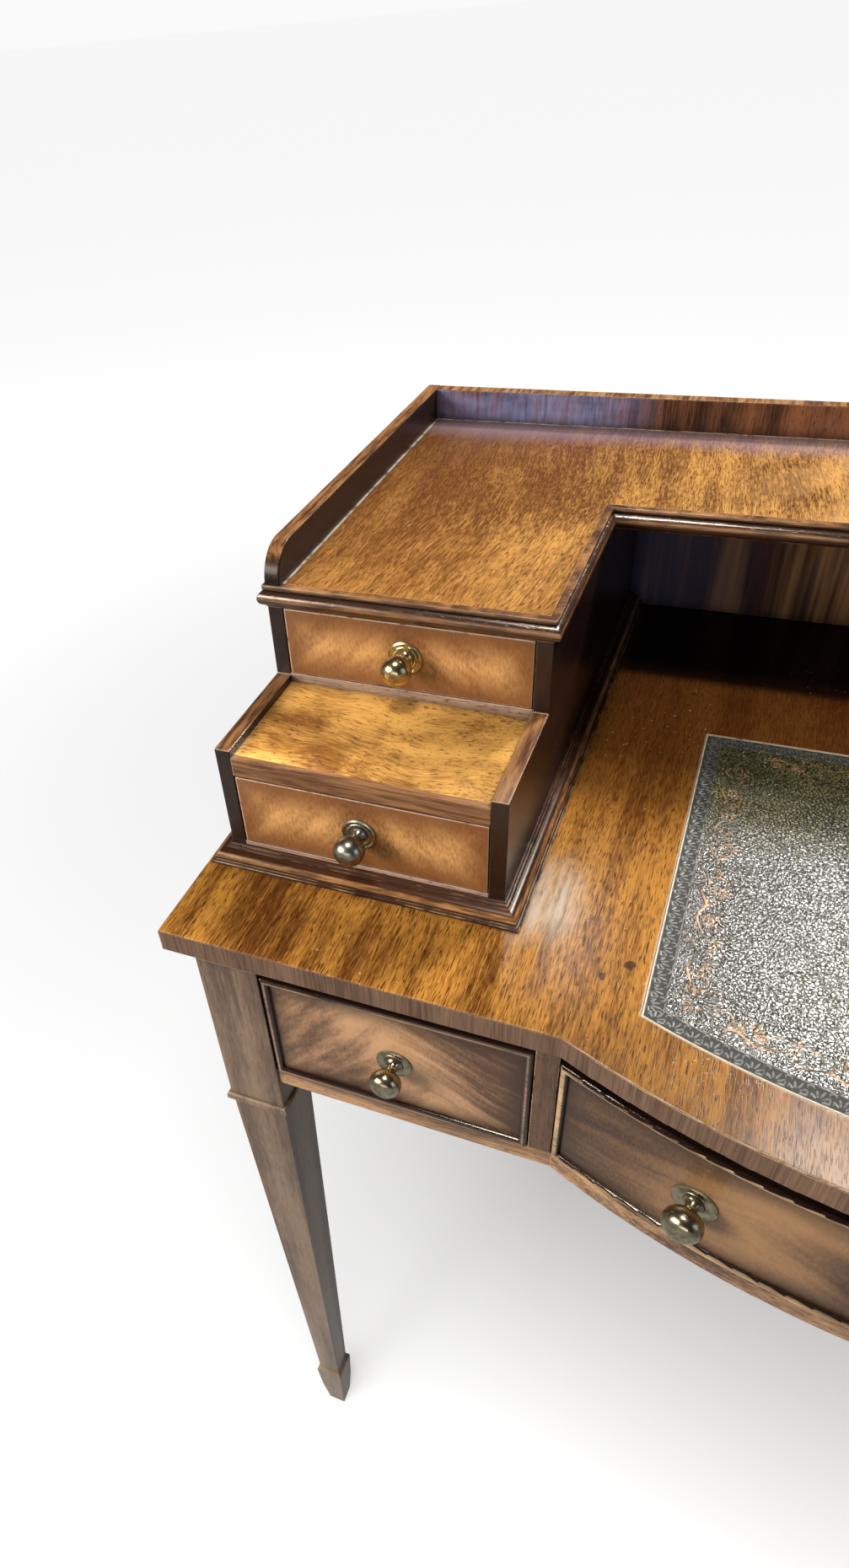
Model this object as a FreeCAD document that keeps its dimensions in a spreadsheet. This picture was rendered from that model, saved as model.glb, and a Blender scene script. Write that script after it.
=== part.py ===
import FreeCAD, Part
import math
import operator
import os
import Sketcher
from types import SimpleNamespace

# Bow-fronted mahogany writing desk with a stepped superstructure, all sizes in millimetres.
# X runs to the desk's right, Y to its back, Z up. The origin is on the floor under the middle of its outline.

LENGTHS = (
    # Desktop: straight wings at both ends, a bowed middle between two cusps
    ("desk_width", 930),
    ("desk_depth", 478),
    ("desk_height", 762),
    ("desktop_thickness", 17.6),
    ("bow_half_width", 221.6),
    ("bow_rise", 48.3),
    ("desktop_under_round", 2.2),
    ("desktop_arris", 0.8),
    # Leather writing surface
    ("inset_half_width", 187),
    ("inset_back_margin", 187),
    ("inset_margin", 39),
    ("inset_recess", 1.3),
    ("leather_thickness", 1.1),
    ("leather_gap", 0.3),
    # Legs: square above the collar, tapered below it, on spade feet
    ("leg_side_inset", 21.7),
    ("leg_front_inset", 1),
    ("leg_back_inset", 12),
    ("leg_width", 41.2),
    ("leg_arris", 0.8),
    ("shaft_width", 39.6),
    ("ankle_width", 20.3),
    ("ankle_height", 89),
    ("spade_width", 26.3),
    ("spade_height", 85),
    ("spade_waist_width", 22.9),
    ("spade_waist_height", 42),
    ("foot_width", 16.7),
    ("collar_drop", 34.6),
    ("collar_thickness", 7.5),
    ("collar_projection", 2.4),
    # Apron frame
    ("apron_height", 112.4),
    ("apron_thickness", 16),
    ("apron_setback", 2),
    ("rail_setback", 3),
    ("rail_thickness", 14.5),
    ("rail_depth", 57),
    ("rail_arris", 1),
    ("partition_thickness", 13.3),
    ("top_rail_setback", 12),
    ("top_rail_depth", 40),
    ("top_rail_thickness", 4),
    ("runner_width", 15),
    ("runner_thickness", 10),
    ("guide_height", 25),
    ("stop_width", 26),
    ("stop_depth", 14),
    ("stop_height", 3),
    ("stop_gap", 0.2),
    # Apron drawers
    ("face_setback", 4),
    ("front_thickness", 18),
    ("front_side_gap", 0.8),
    ("front_under_gap", 0.7),
    ("front_over_gap", 0.4),
    ("bow_over_gap", 3.4),
    ("bow_landing", 12),
    ("bead_width", 4.8),
    ("bead_proud", 3),
    ("bead_depth", 9),
    ("bead_round", 2.1),
    ("drawer_board", 10),
    ("drawer_floor", 5),
    ("drawer_floor_lift", 7),
    ("drawer_groove", 5),
    ("drawer_side_drop", 6),
    ("drawer_back_drop", 6),
    ("drawer_back_gap", 56),
    ("running_gap", 0.3),
    ("tail_lap", 3),
    ("pin_width", 5),
    # Pedestals of the superstructure
    ("pedestal_inset", 13.9),
    ("pedestal_width", 177.9),
    ("pedestal_front", 76.1),
    ("pedestal_board", 10),
    ("pedestal_arris", 0.6),
    ("riser_front", 163.3),
    ("step_height", 83.5),
    ("base_thickness", 14.4),
    ("tray_drop", 5),
    ("tray_thickness", 13),
    ("tray_lipping", 4),
    ("riser_thickness", 6.4),
    ("back_panel_thickness", 7),
    ("back_panel_inset", 1),
    ("base_moulding_depth", 11.6),
    ("base_moulding_height", 11.5),
    # Pedestal drawers
    ("small_setback", 0.4),
    ("small_thickness", 12),
    ("small_side_gap", 0.7),
    ("small_under_gap", 0.5),
    ("small_over_gap", 1.1),
    ("small_board", 8),
    ("small_floor", 4),
    ("small_floor_lift", 5),
    ("small_groove", 4),
    ("small_side_drop", 4),
    ("small_back_drop", 4),
    ("small_back_gap", 24),
    # Shelf and gallery
    ("shelf_height", 145.2),
    ("shelf_thickness", 14.1),
    ("shelf_overhang", 4.5),
    ("shelf_depth", 165),
    ("shelf_moulding_depth", 8),
    ("gallery_height", 22.3),
    ("gallery_thickness", 10),
    ("gallery_side_inset", 5),
    ("gallery_front_inset", 3.5),
    ("gallery_back_inset", 5),
    ("gallery_arris", 0.8),
    # Knobs: an oblate ball on a flared neck, over a ringed rose
    ("small_ball_radius", 9.5),
    ("small_ball_half_length", 8.25),
    ("small_ball_reach", 15.8),
    ("small_rose_radius", 10.75),
    ("apron_ball_radius", 9.75),
    ("apron_ball_half_length", 6.9),
    ("apron_ball_reach", 15.4),
    ("apron_rose_radius", 11.25),
    ("bow_ball_radius", 11),
    ("bow_ball_half_length", 7.4),
    ("bow_ball_reach", 15),
    ("bow_rose_radius", 12.5),
    ("bow_knob_offset", 141.7),
    ("apron_knob_drop", 2.6),
    ("neck_radius", 3.9),
    ("neck_foot_radius", 5),
    ("neck_hollow", 6),
    ("rose_rim_width", 1.9),
    ("rose_rim_height", 1.4),
    ("rose_plate_height", 0.9),
    ("rose_ring_radius", 6.8),
    ("rose_ring_half_width", 1.1),
    ("rose_ring_height", 2.4),
    ("rose_dish_height", 1.6),
    ("shank_radius", 2),
    ("shank_play", 0.2),
    ("nut_radius", 4.5),
    ("nut_thickness", 3),
    ("nut_seat_gap", 0.05),
    ("thread_play", 0.05),
)

# Moulding sections as shares of depth and height; four numbers start an arc and name its middle.
base_moulding_shares = (
    (0, 0), (1, 0), (1, 0.105), (0.95, 0.105, 0.93, 0.17), (0.83, 0.195, 0.65, 0.57),
    (0.26, 0.72), (0.26, 0.757, 0.225, 0.85), (0.13, 0.87, 0.095, 0.965), (0, 1),
)
shelf_moulding_shares = (
    (0, 0), (0.5, 0), (0.5, 0.057), (0.375, 0.057, 1, 0.411), (0.375, 0.766),
    (0.375, 0.81), (0.625, 0.81), (0.625, 1), (0, 1),
)
tail_flare_share = 0.14
hair_share = 1e-6

V = FreeCAD.Vector
SIDES = (("left", -1), ("right", 1))
FORWARD = (0, -1)

doc = FreeCAD.newDocument("writing_desk")
sheet = doc.addObject("Spreadsheet::Sheet", "sizes")
nodes = []


class Size:
    # A length that carries its number and the sheet formula that gives it.

    def __init__(self, number, formula):
        self.number = number
        self.formula = formula

    def __add__(self, other):
        return combined(operator.add, "+", self, other)

    def __radd__(self, other):
        return combined(operator.add, "+", other, self)

    def __sub__(self, other):
        return combined(operator.sub, "-", self, other)

    def __rsub__(self, other):
        return combined(operator.sub, "-", other, self)

    def __mul__(self, other):
        return combined(operator.mul, "*", self, other)

    def __rmul__(self, other):
        return combined(operator.mul, "*", other, self)

    def __truediv__(self, other):
        return combined(operator.truediv, "/", self, other)

    def __neg__(self):
        return Size(-self.number, "(-%s)" % self.formula)


def as_size(value):
    return value if isinstance(value, Size) else Size(value, str(value))


def combined(work, sign, first, second):
    first = as_size(first)
    second = as_size(second)
    return Size(work(first.number, second.number), "(%s %s %s)" % (first.formula, sign, second.formula))


def root(value):
    return Size(math.sqrt(value.number), "sqrt(%s)" % value.formula)


def fill_sheet():
    for row, (alias, value) in enumerate(LENGTHS, 1):
        sheet.set("A%d" % row, alias)
        sheet.set("B%d" % row, str(value))
        sheet.setAlias("B%d" % row, alias)
    doc.recompute()
    return SimpleNamespace(**{alias: Size(float(sheet.get(alias)), "sizes." + alias) for alias, _ in LENGTHS})


size = fill_sheet()
hair = hair_share * size.desk_width.number

# Planes that several pieces share
half_width = size.desk_width / 2
front_edge = (size.bow_rise - size.desk_depth) / 2
back_edge = (size.bow_rise + size.desk_depth) / 2
under_desktop = size.desk_height - size.desktop_thickness
apron_underside = under_desktop - size.apron_height
collar_base = apron_underside - size.collar_drop
bow_radius = (size.bow_half_width * size.bow_half_width + size.bow_rise * size.bow_rise) / (2 * size.bow_rise)
bow_centre = front_edge + bow_radius - size.bow_rise
leg_outer = half_width - size.leg_side_inset
leg_inner = leg_outer - size.leg_width
front_leg_y = (front_edge + size.leg_front_inset, front_edge + size.leg_front_inset + size.leg_width)
back_leg_y = (back_edge - size.leg_back_inset - size.leg_width, back_edge - size.leg_back_inset)
apron_outer = leg_outer - size.apron_setback
apron_inner = apron_outer - size.apron_thickness
back_apron_y = (back_leg_y[1] - size.apron_setback - size.apron_thickness, back_leg_y[1] - size.apron_setback)
rail_top = apron_underside + size.rail_thickness
rail_back = front_edge + size.rail_setback + size.rail_depth
partition_outer = size.bow_half_width + size.partition_thickness
under_top_rail = under_desktop - size.top_rail_thickness
pedestal_outer = half_width - size.pedestal_inset
pedestal_inner = pedestal_outer - size.pedestal_width
bay_outer = pedestal_outer - size.pedestal_board
bay_inner = pedestal_inner + size.pedestal_board
pedestal_y = front_edge + size.pedestal_front
riser_y = front_edge + size.riser_front
panel_y = (back_edge - size.back_panel_inset - size.back_panel_thickness, back_edge - size.back_panel_inset)
step_top = size.desk_height + size.step_height
base_top = size.desk_height + size.base_thickness
tray_top = step_top - size.tray_drop
under_tray = tray_top - size.tray_thickness
riser_top = tray_top + size.riser_thickness
shelf_top = size.desk_height + size.shelf_height
under_shelf = shelf_top - size.shelf_thickness


def bow_y(x, setback):
    return bow_centre - root((bow_radius - setback) * (bow_radius - setback) - x * x)


def cusp_x(setback):
    straight_y = bow_centre - front_edge - setback
    return root((bow_radius - setback) * (bow_radius - setback) - straight_y * straight_y)


def span(side, near, far):
    return (near, far) if side > 0 else (-far, -near)


def shrunk(pair, margin):
    return (pair[0] + margin, pair[1] - margin)


def middle(pair):
    return (pair[0] + pair[1]) / 2


# Helpers that make and bind the document's objects

def bind(thing, name, value):
    thing.setExpression(name, as_size(value).formula)


def place(thing, x, y, z):
    for axis, value in zip("xyz", (x, y, z)):
        bind(thing, "Placement.Base." + axis, value)


def node(thing):
    nodes.append(thing)
    return thing


def board(label, x, y, z):
    box = doc.addObject("Part::Box", label)
    for name, (low, high) in zip(("Length", "Width", "Height"), (x, y, z)):
        bind(box, name, high - low)
    place(box, x[0], y[0], z[0])
    return box


def group(label, members):
    together = doc.addObject("Part::Compound", label)
    together.Links = members
    return together


def cut(label, base, tools):
    result = doc.addObject("Part::Cut", label)
    result.Base = base
    result.Tool = tools[0] if len(tools) == 1 else group(label + "_tools", tools)
    return result


def rectangle(x, y):
    return [(x[0], y[0]), (x[1], y[0]), (x[1], y[1]), (x[0], y[1])]


def edge_between(corner, following):
    start = V(corner[0].number, corner[1].number, 0)
    end = V(following[0].number, following[1].number, 0)
    if len(corner) == 2:
        return Part.LineSegment(start, end)
    radius, (bulge_x, bulge_y) = corner[2].number, corner[3]
    chord = end - start
    across = V(-chord.y, chord.x, 0).normalize()
    if across.x * bulge_x + across.y * bulge_y < 0:
        across = -across
    sagitta = radius - math.sqrt(max(radius ** 2 - (chord.Length / 2) ** 2, 0))
    crest = (start + end) / 2 + across * sagitta
    if chord.cross(across).z > 0:
        start, end = end, start
    return Part.Arc(start, crest, end)


def outline(body, plane, height, corners):
    # A closed sketch. A corner is (x, y), or (x, y, radius, side) where an arc starts that bulges to a side.
    corners = [(as_size(c[0]), as_size(c[1])) + tuple(c[2:]) for c in corners]
    sketch = body.newObject("Sketcher::SketchObject", body.Label + "_outline")
    support = [feature for feature in body.Origin.OriginFeatures if feature.Role == plane][0]
    sketch.AttachmentSupport = [(support, "")]
    sketch.MapMode = "FlatFace"
    bind(sketch, "AttachmentOffset.Base.z", height)
    follows = corners[1:] + corners[:1]
    sketch.addGeometry([edge_between(c, f) for c, f in zip(corners, follows)], False)
    starts = []
    for number, corner in enumerate(corners):
        drawn = sketch.Geometry[number].StartPoint - V(corner[0].number, corner[1].number, 0)
        starts.append(1 if drawn.Length < hair else 2)
    limits = []
    formulas = []
    for number, corner in enumerate(corners):
        before = number - 1 if number else len(corners) - 1
        limits.append(Sketcher.Constraint("Coincident", before, 3 - starts[before], number, starts[number]))
        formulas.append(None)
        for name, value in zip(("DistanceX", "DistanceY"), corner[:2]):
            limits.append(Sketcher.Constraint(name, -1, 1, number, starts[number], value.number))
            formulas.append(value.formula)
        if len(corner) > 2:
            limits.append(Sketcher.Constraint("Radius", number, corner[2].number))
            formulas.append(corner[2].formula)
    sketch.addConstraint(limits)
    for number, formula in enumerate(formulas):
        if formula:
            sketch.setExpression("Constraints[%d]" % number, formula)
    return sketch


def new_body(label):
    return doc.addObject("PartDesign::Body", label)


def pad(body, sketch, length):
    feature = body.newObject("PartDesign::Pad", body.Label + "_pad")
    feature.Profile = sketch
    bind(feature, "Length", length)
    return feature


def pocket(body, sketch, length):
    # Cuts up from the sketch, towards its own normal.
    feature = body.newObject("PartDesign::Pocket", body.Label + "_pocket")
    feature.Profile = sketch
    feature.Reversed = True
    bind(feature, "Length", length)
    return feature


def rounded(body, radius, chosen):
    doc.recompute()
    base = body.Tip
    names = ["Edge%d" % number for number, edge in enumerate(base.Shape.Edges, 1) if chosen(edge.BoundBox)]
    feature = body.newObject("PartDesign::Fillet", body.Label + "_round")
    feature.Base = (base, names)
    bind(feature, "Radius", radius)
    return feature


def near(value, place_value):
    return abs(value - place_value.number) < hair


def flat_at(box, axis, value):
    return near(getattr(box, axis + "Min"), value) and near(getattr(box, axis + "Max"), value)


def slab(label, corners, z):
    # An outline seen from above, between two heights.
    body = new_body(label)
    pad(body, outline(body, "XY_Plane", z[0], corners), z[1] - z[0])
    return body


def upright(label, corners, x):
    # An outline seen from the desk's right end, given as (y, z), between two places across.
    body = new_body(label)
    pad(body, outline(body, "YZ_Plane", x[0], corners), x[1] - x[0])
    return body


def turned(label, corners):
    # A turning about the Y axis, given as (radius, y).
    body = new_body(label)
    sketch = outline(body, "XY_Plane", 0, corners)
    feature = body.newObject("PartDesign::Revolution", label + "_turning")
    feature.Profile = sketch
    feature.ReferenceAxis = (sketch, ["V_Axis"])
    return body


def section_wire(shares, depth, height, place_at):
    # A moulding's closed section, with place_at giving the point at a distance out and a height.
    def point(out_share, up_share):
        return place_at(out_share * depth.number, up_share * height.number)

    edges = []
    for corner, following in zip(shares, shares[1:] + shares[:1]):
        start, end = point(*corner[:2]), point(*following[:2])
        straight = len(corner) == 2
        edges.append(Part.LineSegment(start, end) if straight else Part.Arc(start, point(*corner[2:]), end))
    return Part.Wire([edge.toShape() for edge in edges])


def moulding(label, corners, shares, depth, height, level):
    # Strips mitred at the corners of a wall line, each projecting to the right of its run.
    points = [V(x.number, y.number, level.number) for x, y in corners]
    runs = [(end - start).normalize() for start, end in zip(points, points[1:])]
    outs = [V(run.y, -run.x, 0) for run in runs]
    strips = []
    for number, (run, out) in enumerate(zip(runs, outs)):
        start, end = points[number], points[number + 1]
        first = out + outs[number - 1] if number else out
        last = out + outs[number + 1] if number + 1 < len(outs) else out

        def at_start(distance, rise):
            return start - run * depth.number + out * distance + V(0, 0, rise)

        face = Part.Face(section_wire(shares, depth, height, at_start))
        strip = face.extrude(run * ((end - start).Length + 2 * depth.number))
        reach = 2 * depth.number
        plan = [start - first * reach, start + first * reach, end + last * reach, end - last * reach]
        mitres = Part.Face(Part.makePolygon([p - V(0, 0, height.number) for p in plan + plan[:1]]))
        strips.append(strip.common(mitres.extrude(V(0, 0, 3 * height.number))).Solids[0])
    feature = doc.addObject("Part::Feature", label)
    feature.Shape = Part.makeCompound(strips)
    return node(feature)


# Desktop and leather

def inset_outline(gap):
    x = shrunk((-size.inset_half_width, size.inset_half_width), gap)
    y = back_edge - size.inset_back_margin - gap
    setback = size.inset_margin + gap
    arc = (bow_radius - setback, FORWARD)
    return [(x[0], bow_y(x[0], setback)) + arc, (x[1], bow_y(x[1], setback)), (x[1], y), (x[0], y)]


def make_desktop():
    corners = [
        (-half_width, front_edge),
        (-size.bow_half_width, front_edge, bow_radius, FORWARD),
        (size.bow_half_width, front_edge),
        (half_width, front_edge),
        (half_width, back_edge),
        (-half_width, back_edge),
    ]
    body = slab("desktop", corners, (under_desktop, size.desk_height))
    rounded(body, size.desktop_arris, lambda box: flat_at(box, "Z", size.desk_height))
    rounded(body, size.desktop_under_round, lambda box: flat_at(box, "Z", under_desktop))
    bottom = size.desk_height - size.inset_recess
    pocket(body, outline(body, "XY_Plane", bottom, inset_outline(0)), size.inset_recess)
    node(body)
    node(slab("leather_inset", inset_outline(size.leather_gap), (bottom, bottom + size.leather_thickness)))


# Legs and collars

def centred_square(width):
    return rectangle((-width / 2, width / 2), (-width / 2, width / 2))


def make_leg(label, x, y):
    body = new_body(label)
    pad(body, outline(body, "XY_Plane", collar_base, centred_square(size.leg_width)),
        under_desktop - collar_base)
    rounded(body, size.leg_arris, lambda box: box.XLength < hair and box.YLength < hair)
    stations = (
        (collar_base, size.shaft_width),
        (size.ankle_height, size.ankle_width),
        (size.spade_height, size.spade_width),
        (size.spade_waist_height, size.spade_waist_width),
        (0, size.foot_width),
    )
    squares = [outline(body, "XY_Plane", height, centred_square(width)) for height, width in stations]
    taper = body.newObject("PartDesign::AdditiveLoft", label + "_taper")
    taper.Profile = squares[0]
    taper.Sections = squares[1:]
    taper.Ruled = True
    place(body, x, y, 0)
    return node(body)


def make_legs():
    collar = new_body("collar_pattern")
    outer = size.leg_width + 2 * size.collar_projection
    top = collar_base + size.collar_thickness
    pad(collar, outline(collar, "XY_Plane", collar_base, centred_square(outer)), size.collar_thickness)
    rounded(collar, size.collar_projection,
            lambda box: flat_at(box, "Z", collar_base) or flat_at(box, "Z", top))
    pocket(collar, outline(collar, "XY_Plane", collar_base, centred_square(size.leg_width)),
           size.collar_thickness)
    collars = []
    for side_name, side in SIDES:
        for depth_name, y in (("front", front_leg_y), ("back", back_leg_y)):
            x = middle(span(side, leg_inner, leg_outer))
            make_leg("leg_%s_%s" % (depth_name, side_name), x, middle(y))
            ring = group("collar_%s_%s" % (depth_name, side_name), [collar])
            place(ring, x, middle(y), 0)
            collars.append(ring)
    node(group("leg_collars", collars))


# Apron frame

def make_rails():
    y = front_edge + size.rail_setback
    z = (apron_underside, rail_top)
    cusp = cusp_x(size.rail_setback)
    for name, side in SIDES:
        x = span(side, cusp, leg_inner)
        body = slab("drawer_rail_" + name, rectangle(x, (y, rail_back)), z)
        rounded(body, size.rail_arris, lambda box: flat_at(box, "Y", y) and box.XLength > box.ZLength)
        node(body)
    arc = (bow_radius - size.rail_setback, FORWARD)
    bow = slab("drawer_rail_bow", [(-cusp, y) + arc, (cusp, y), (cusp, rail_back), (-cusp, rail_back)], z)
    rounded(bow, size.rail_arris, lambda box: box.YMin < y.number - hair and box.ZLength < hair)
    node(bow)


def make_top_rails():
    z = (under_top_rail, under_desktop)
    setback = size.top_rail_setback
    back = front_edge + setback + size.top_rail_depth
    pieces = []
    for name, side in SIDES:
        x = span(side, partition_outer, leg_inner)
        pieces.append(board("top_rail_" + name, x, (front_edge + setback, back), z))
    edge = size.bow_half_width
    arc = (bow_radius - setback, FORWARD)
    corners = [(-edge, bow_y(edge, setback)) + arc, (edge, bow_y(edge, setback)), (edge, back), (-edge, back)]
    pieces.append(slab("top_rail_bow", corners, z))
    node(group("top_rails", pieces))


def make_aprons_and_partitions():
    z = (apron_underside, under_desktop)
    y = front_edge + size.rail_setback
    for name, side in SIDES:
        between_legs = (front_leg_y[1], back_leg_y[0])
        node(board("side_apron_" + name, span(side, apron_inner, apron_outer), between_legs, z))
        corners = [(y, rail_top), (rail_back, rail_top), (rail_back, z[0]), (back_apron_y[0], z[0]),
                   (back_apron_y[0], z[1]), (y, z[1])]
        node(upright("drawer_partition_" + name, corners, span(side, size.bow_half_width, partition_outer)))
    node(board("back_apron", (-leg_inner, leg_inner), back_apron_y, z))


def make_runners():
    below = (rail_top - size.runner_thickness, rail_top)
    above = (under_top_rail, under_desktop)
    top_rail_back = front_edge + size.top_rail_setback + size.top_rail_depth
    bow_x = (size.bow_half_width - size.runner_width, size.bow_half_width)
    inner_x = (partition_outer, partition_outer + size.runner_width)
    outer_x = (leg_inner - size.runner_width, apron_inner)
    runners = []
    kickers = []
    for name, side in SIDES:
        for bay, x, back in (("bow", bow_x, back_apron_y[0]), ("inner", inner_x, back_apron_y[0]),
                             ("outer", outer_x, back_leg_y[0])):
            label = "%s_%s" % (bay, name)
            runners.append(board("runner_" + label, span(side, *x), (rail_back, back), below))
            kickers.append(board("kicker_" + label, span(side, *x), (top_rail_back, back), above))
        runners.append(board("guide_" + name, span(side, leg_inner, apron_inner),
                             (front_leg_y[1], back_leg_y[0]), (rail_top, rail_top + size.guide_height)))
    node(group("drawer_runners_and_guides", runners))
    node(group("drawer_kickers", kickers))


def make_stops():
    z = (rail_top, rail_top + size.stop_height)
    behind = size.face_setback + size.front_thickness
    stops = []
    for name, side in SIDES:
        for place_name, near_x in (("inner", partition_outer + 2 * size.drawer_board),
                                   ("outer", leg_inner - 2 * size.drawer_board - size.stop_width)):
            x = span(side, near_x, near_x + size.stop_width)
            y = front_edge + behind
            stops.append(board("stop_%s_%s" % (place_name, name), x, (y, y + size.stop_depth), z))
        x = span(side, size.bow_half_width / 2, size.bow_half_width / 2 + size.stop_width)
        y = bow_y(x[0] if side < 0 else x[1], behind) + size.stop_gap
        stops.append(board("stop_bow_" + name, x, (y, y + size.stop_depth), z))
    node(group("drawer_stops", stops))


# Superstructure

def make_pedestals():
    inner_side = [(pedestal_y, size.desk_height), (pedestal_y, step_top), (riser_y, step_top),
                  (riser_y, under_shelf), (panel_y[0], under_shelf), (panel_y[0], size.desk_height)]
    bases = []
    risers = []
    for name, side in SIDES:
        for board_name, x in (("outer", (bay_outer, pedestal_outer)), ("inner", (pedestal_inner, bay_inner))):
            body = upright("pedestal_%s_side_%s" % (board_name, name), inner_side, span(side, *x))
            rounded(body, size.pedestal_arris,
                    lambda box: box.XLength < hair and box.YMax < riser_y.number + hair
                    and box.ZMax > size.desk_height.number + hair)
            node(body)
        bay = span(side, bay_inner, bay_outer)
        bases.append(board("pedestal_base_" + name, bay, (pedestal_y, panel_y[0]),
                           (size.desk_height, base_top)))
        lipping_back = pedestal_y + size.tray_lipping
        lipping = slab("tray_lipping_" + name, rectangle(bay, (pedestal_y, lipping_back)),
                       (under_tray, tray_top))
        rounded(lipping, size.pedestal_arris,
                lambda box: flat_at(box, "Y", pedestal_y) and box.ZLength < hair)
        panel = board("tray_panel_" + name, bay, (lipping_back, panel_y[0]), (under_tray, tray_top))
        node(group("step_tray_" + name, [lipping, panel]))
        risers.append(board("riser_board_" + name, bay, (riser_y, panel_y[0]), (tray_top, riser_top)))
        x = span(side, pedestal_inner, pedestal_outer)
        wall = [(x[0], panel_y[0]), (x[0], pedestal_y), (x[1], pedestal_y), (x[1], panel_y[0])]
        moulding("pedestal_moulding_" + name, wall, base_moulding_shares, size.base_moulding_depth,
                 size.base_moulding_height, size.desk_height)
    node(group("pedestal_bases", bases))
    node(group("riser_boards", risers))
    node(board("back_panel", (-pedestal_outer, pedestal_outer), panel_y, (size.desk_height, under_shelf)))


def make_shelf():
    trim = size.shelf_moulding_depth - size.shelf_overhang
    outer = pedestal_outer - trim
    inner = pedestal_inner + trim
    front = riser_y + trim
    recess = back_edge - size.shelf_depth + size.shelf_moulding_depth
    back = panel_y[1]
    edge = [(-outer, back), (-outer, front), (-inner, front), (-inner, recess),
            (inner, recess), (inner, front), (outer, front), (outer, back)]
    node(slab("shelf_top", edge, (under_shelf, shelf_top)))
    moulding("shelf_edge_moulding", edge, shelf_moulding_shares, size.shelf_moulding_depth,
             size.shelf_thickness, under_shelf)


def make_gallery():
    z = (shelf_top, shelf_top + size.gallery_height)
    outer = pedestal_outer + size.shelf_overhang - size.gallery_side_inset
    inner = outer - size.gallery_thickness
    front = riser_y - size.shelf_overhang + size.gallery_front_inset
    back = panel_y[1] - size.gallery_back_inset
    corners = [(front, z[0], size.gallery_height, (-1, 1)), (front + size.gallery_height, z[1]),
               (back, z[1]), (back, z[0])]
    for name, side in SIDES:
        body = upright("gallery_side_" + name, corners, span(side, inner, outer))
        rounded(body, size.gallery_arris,
                lambda box: box.XLength < hair and box.ZMax > z[1].number - hair and box.YLength > hair)
        node(body)
    body = slab("gallery_back", rectangle((-inner, inner), (back - size.gallery_thickness, back)), z)
    rounded(body, size.gallery_arris, lambda box: flat_at(box, "Z", z[1]) and box.YLength < hair)
    node(body)


# Knobs

def make_knob(kind, front_thickness):
    ball = getattr(size, kind + "_ball_radius")
    half = getattr(size, kind + "_ball_half_length")
    reach = getattr(size, kind + "_ball_reach")
    rose = getattr(size, kind + "_rose_radius")
    flat = ball - half
    neck = size.neck_radius
    neck_y = root(half * half - (neck - flat) * (neck - flat)) - reach
    inside = front_thickness + size.nut_thickness + size.shank_radius / 2
    knob = turned(kind + "_knob_pattern", [
        (0, -reach - half),
        (flat, -reach - half, half, (1, -1)),
        (ball, -reach, half, (1, 1)),
        (neck, neck_y, size.neck_hollow, (-1, 0)),
        (size.neck_foot_radius, -size.rose_dish_height),
        (size.shank_radius, -size.rose_dish_height),
        (size.shank_radius, inside),
        (0, inside),
    ])
    hole = size.shank_radius + size.shank_play
    ring = shrunk((size.rose_ring_radius, size.rose_ring_radius), -size.rose_ring_half_width)
    rim = rose - size.rose_rim_width
    plate = -size.rose_plate_height
    plinth = turned(kind + "_rose_pattern", [
        (hole, 0),
        (rose, 0),
        (rose, plate),
        (rose - size.rose_rim_width / 2, -size.rose_rim_height),
        (rim, plate),
        (ring[1], plate, size.rose_ring_height - size.rose_plate_height, (0, -1)),
        (ring[0], plate),
        (ring[0], -size.rose_dish_height),
        (hole, -size.rose_dish_height),
    ])
    bore = size.shank_radius + size.thread_play
    nut_y = (front_thickness + size.nut_seat_gap, front_thickness + size.nut_seat_gap + size.nut_thickness)
    nut = turned(kind + "_nut_pattern", rectangle((bore, size.nut_radius), nut_y))
    through = (-size.nut_thickness, front_thickness + size.nut_thickness)
    drill = turned(kind + "_drill_pattern", rectangle((0, hole), through))
    return SimpleNamespace(pieces=[knob, plinth, nut], drill=drill)


def set_at(thing, spot):
    x, y, z, tilt = spot
    place(thing, x, y, z)
    if tilt:
        thing.Placement = FreeCAD.Placement(V(x.number, y.number, z.number), V(0, 0, 1), 1)
        place(thing, x, y, z)
        thing.setExpression("Placement.Rotation.Angle", tilt)
    return thing


# Drawers

def straight_face(y):
    def line(x, setback):
        return (x[0], y + setback), (x[1], y + setback), ()
    return line


def bowed_face(x, setback):
    return (x[0], bow_y(x[0], setback)), (x[1], bow_y(x[1], setback)), (bow_radius - setback, FORWARD)


def between(near_line, far_line):
    start, end, arc = near_line
    far_start, far_end, far_arc = far_line
    return [start + arc, end, far_end + far_arc, far_start]


def make_front(name, face, x, z, stock, beaded):
    # The front's blank, with the y of its landing for the sides and of their tails' ends.
    label = name + "_front_blank"
    rabbet = stock.setback - size.bead_proud + size.bead_depth if beaded else stock.setback
    nearest = face(x, rabbet)
    start, end, arc = face(shrunk(x, stock.landing), stock.setback + stock.thickness)
    landing = end[1]
    if arc:
        corners = [nearest[0] + nearest[2], nearest[1], (x[1], landing), end + arc, start, (x[0], landing)]
    else:
        corners = between(nearest, (start, end, arc))
    blank = slab(label, corners, z)
    if beaded:
        inner_x = shrunk(x, size.bead_width)
        inner_z = shrunk(z, size.bead_width)
        corners = between(face(inner_x, stock.setback), face(inner_x, rabbet))
        pad(blank, outline(blank, "XY_Plane", inner_z[0], corners), inner_z[1] - inner_z[0])
    return blank, (landing, nearest[1][1] + size.tail_lap)


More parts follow.
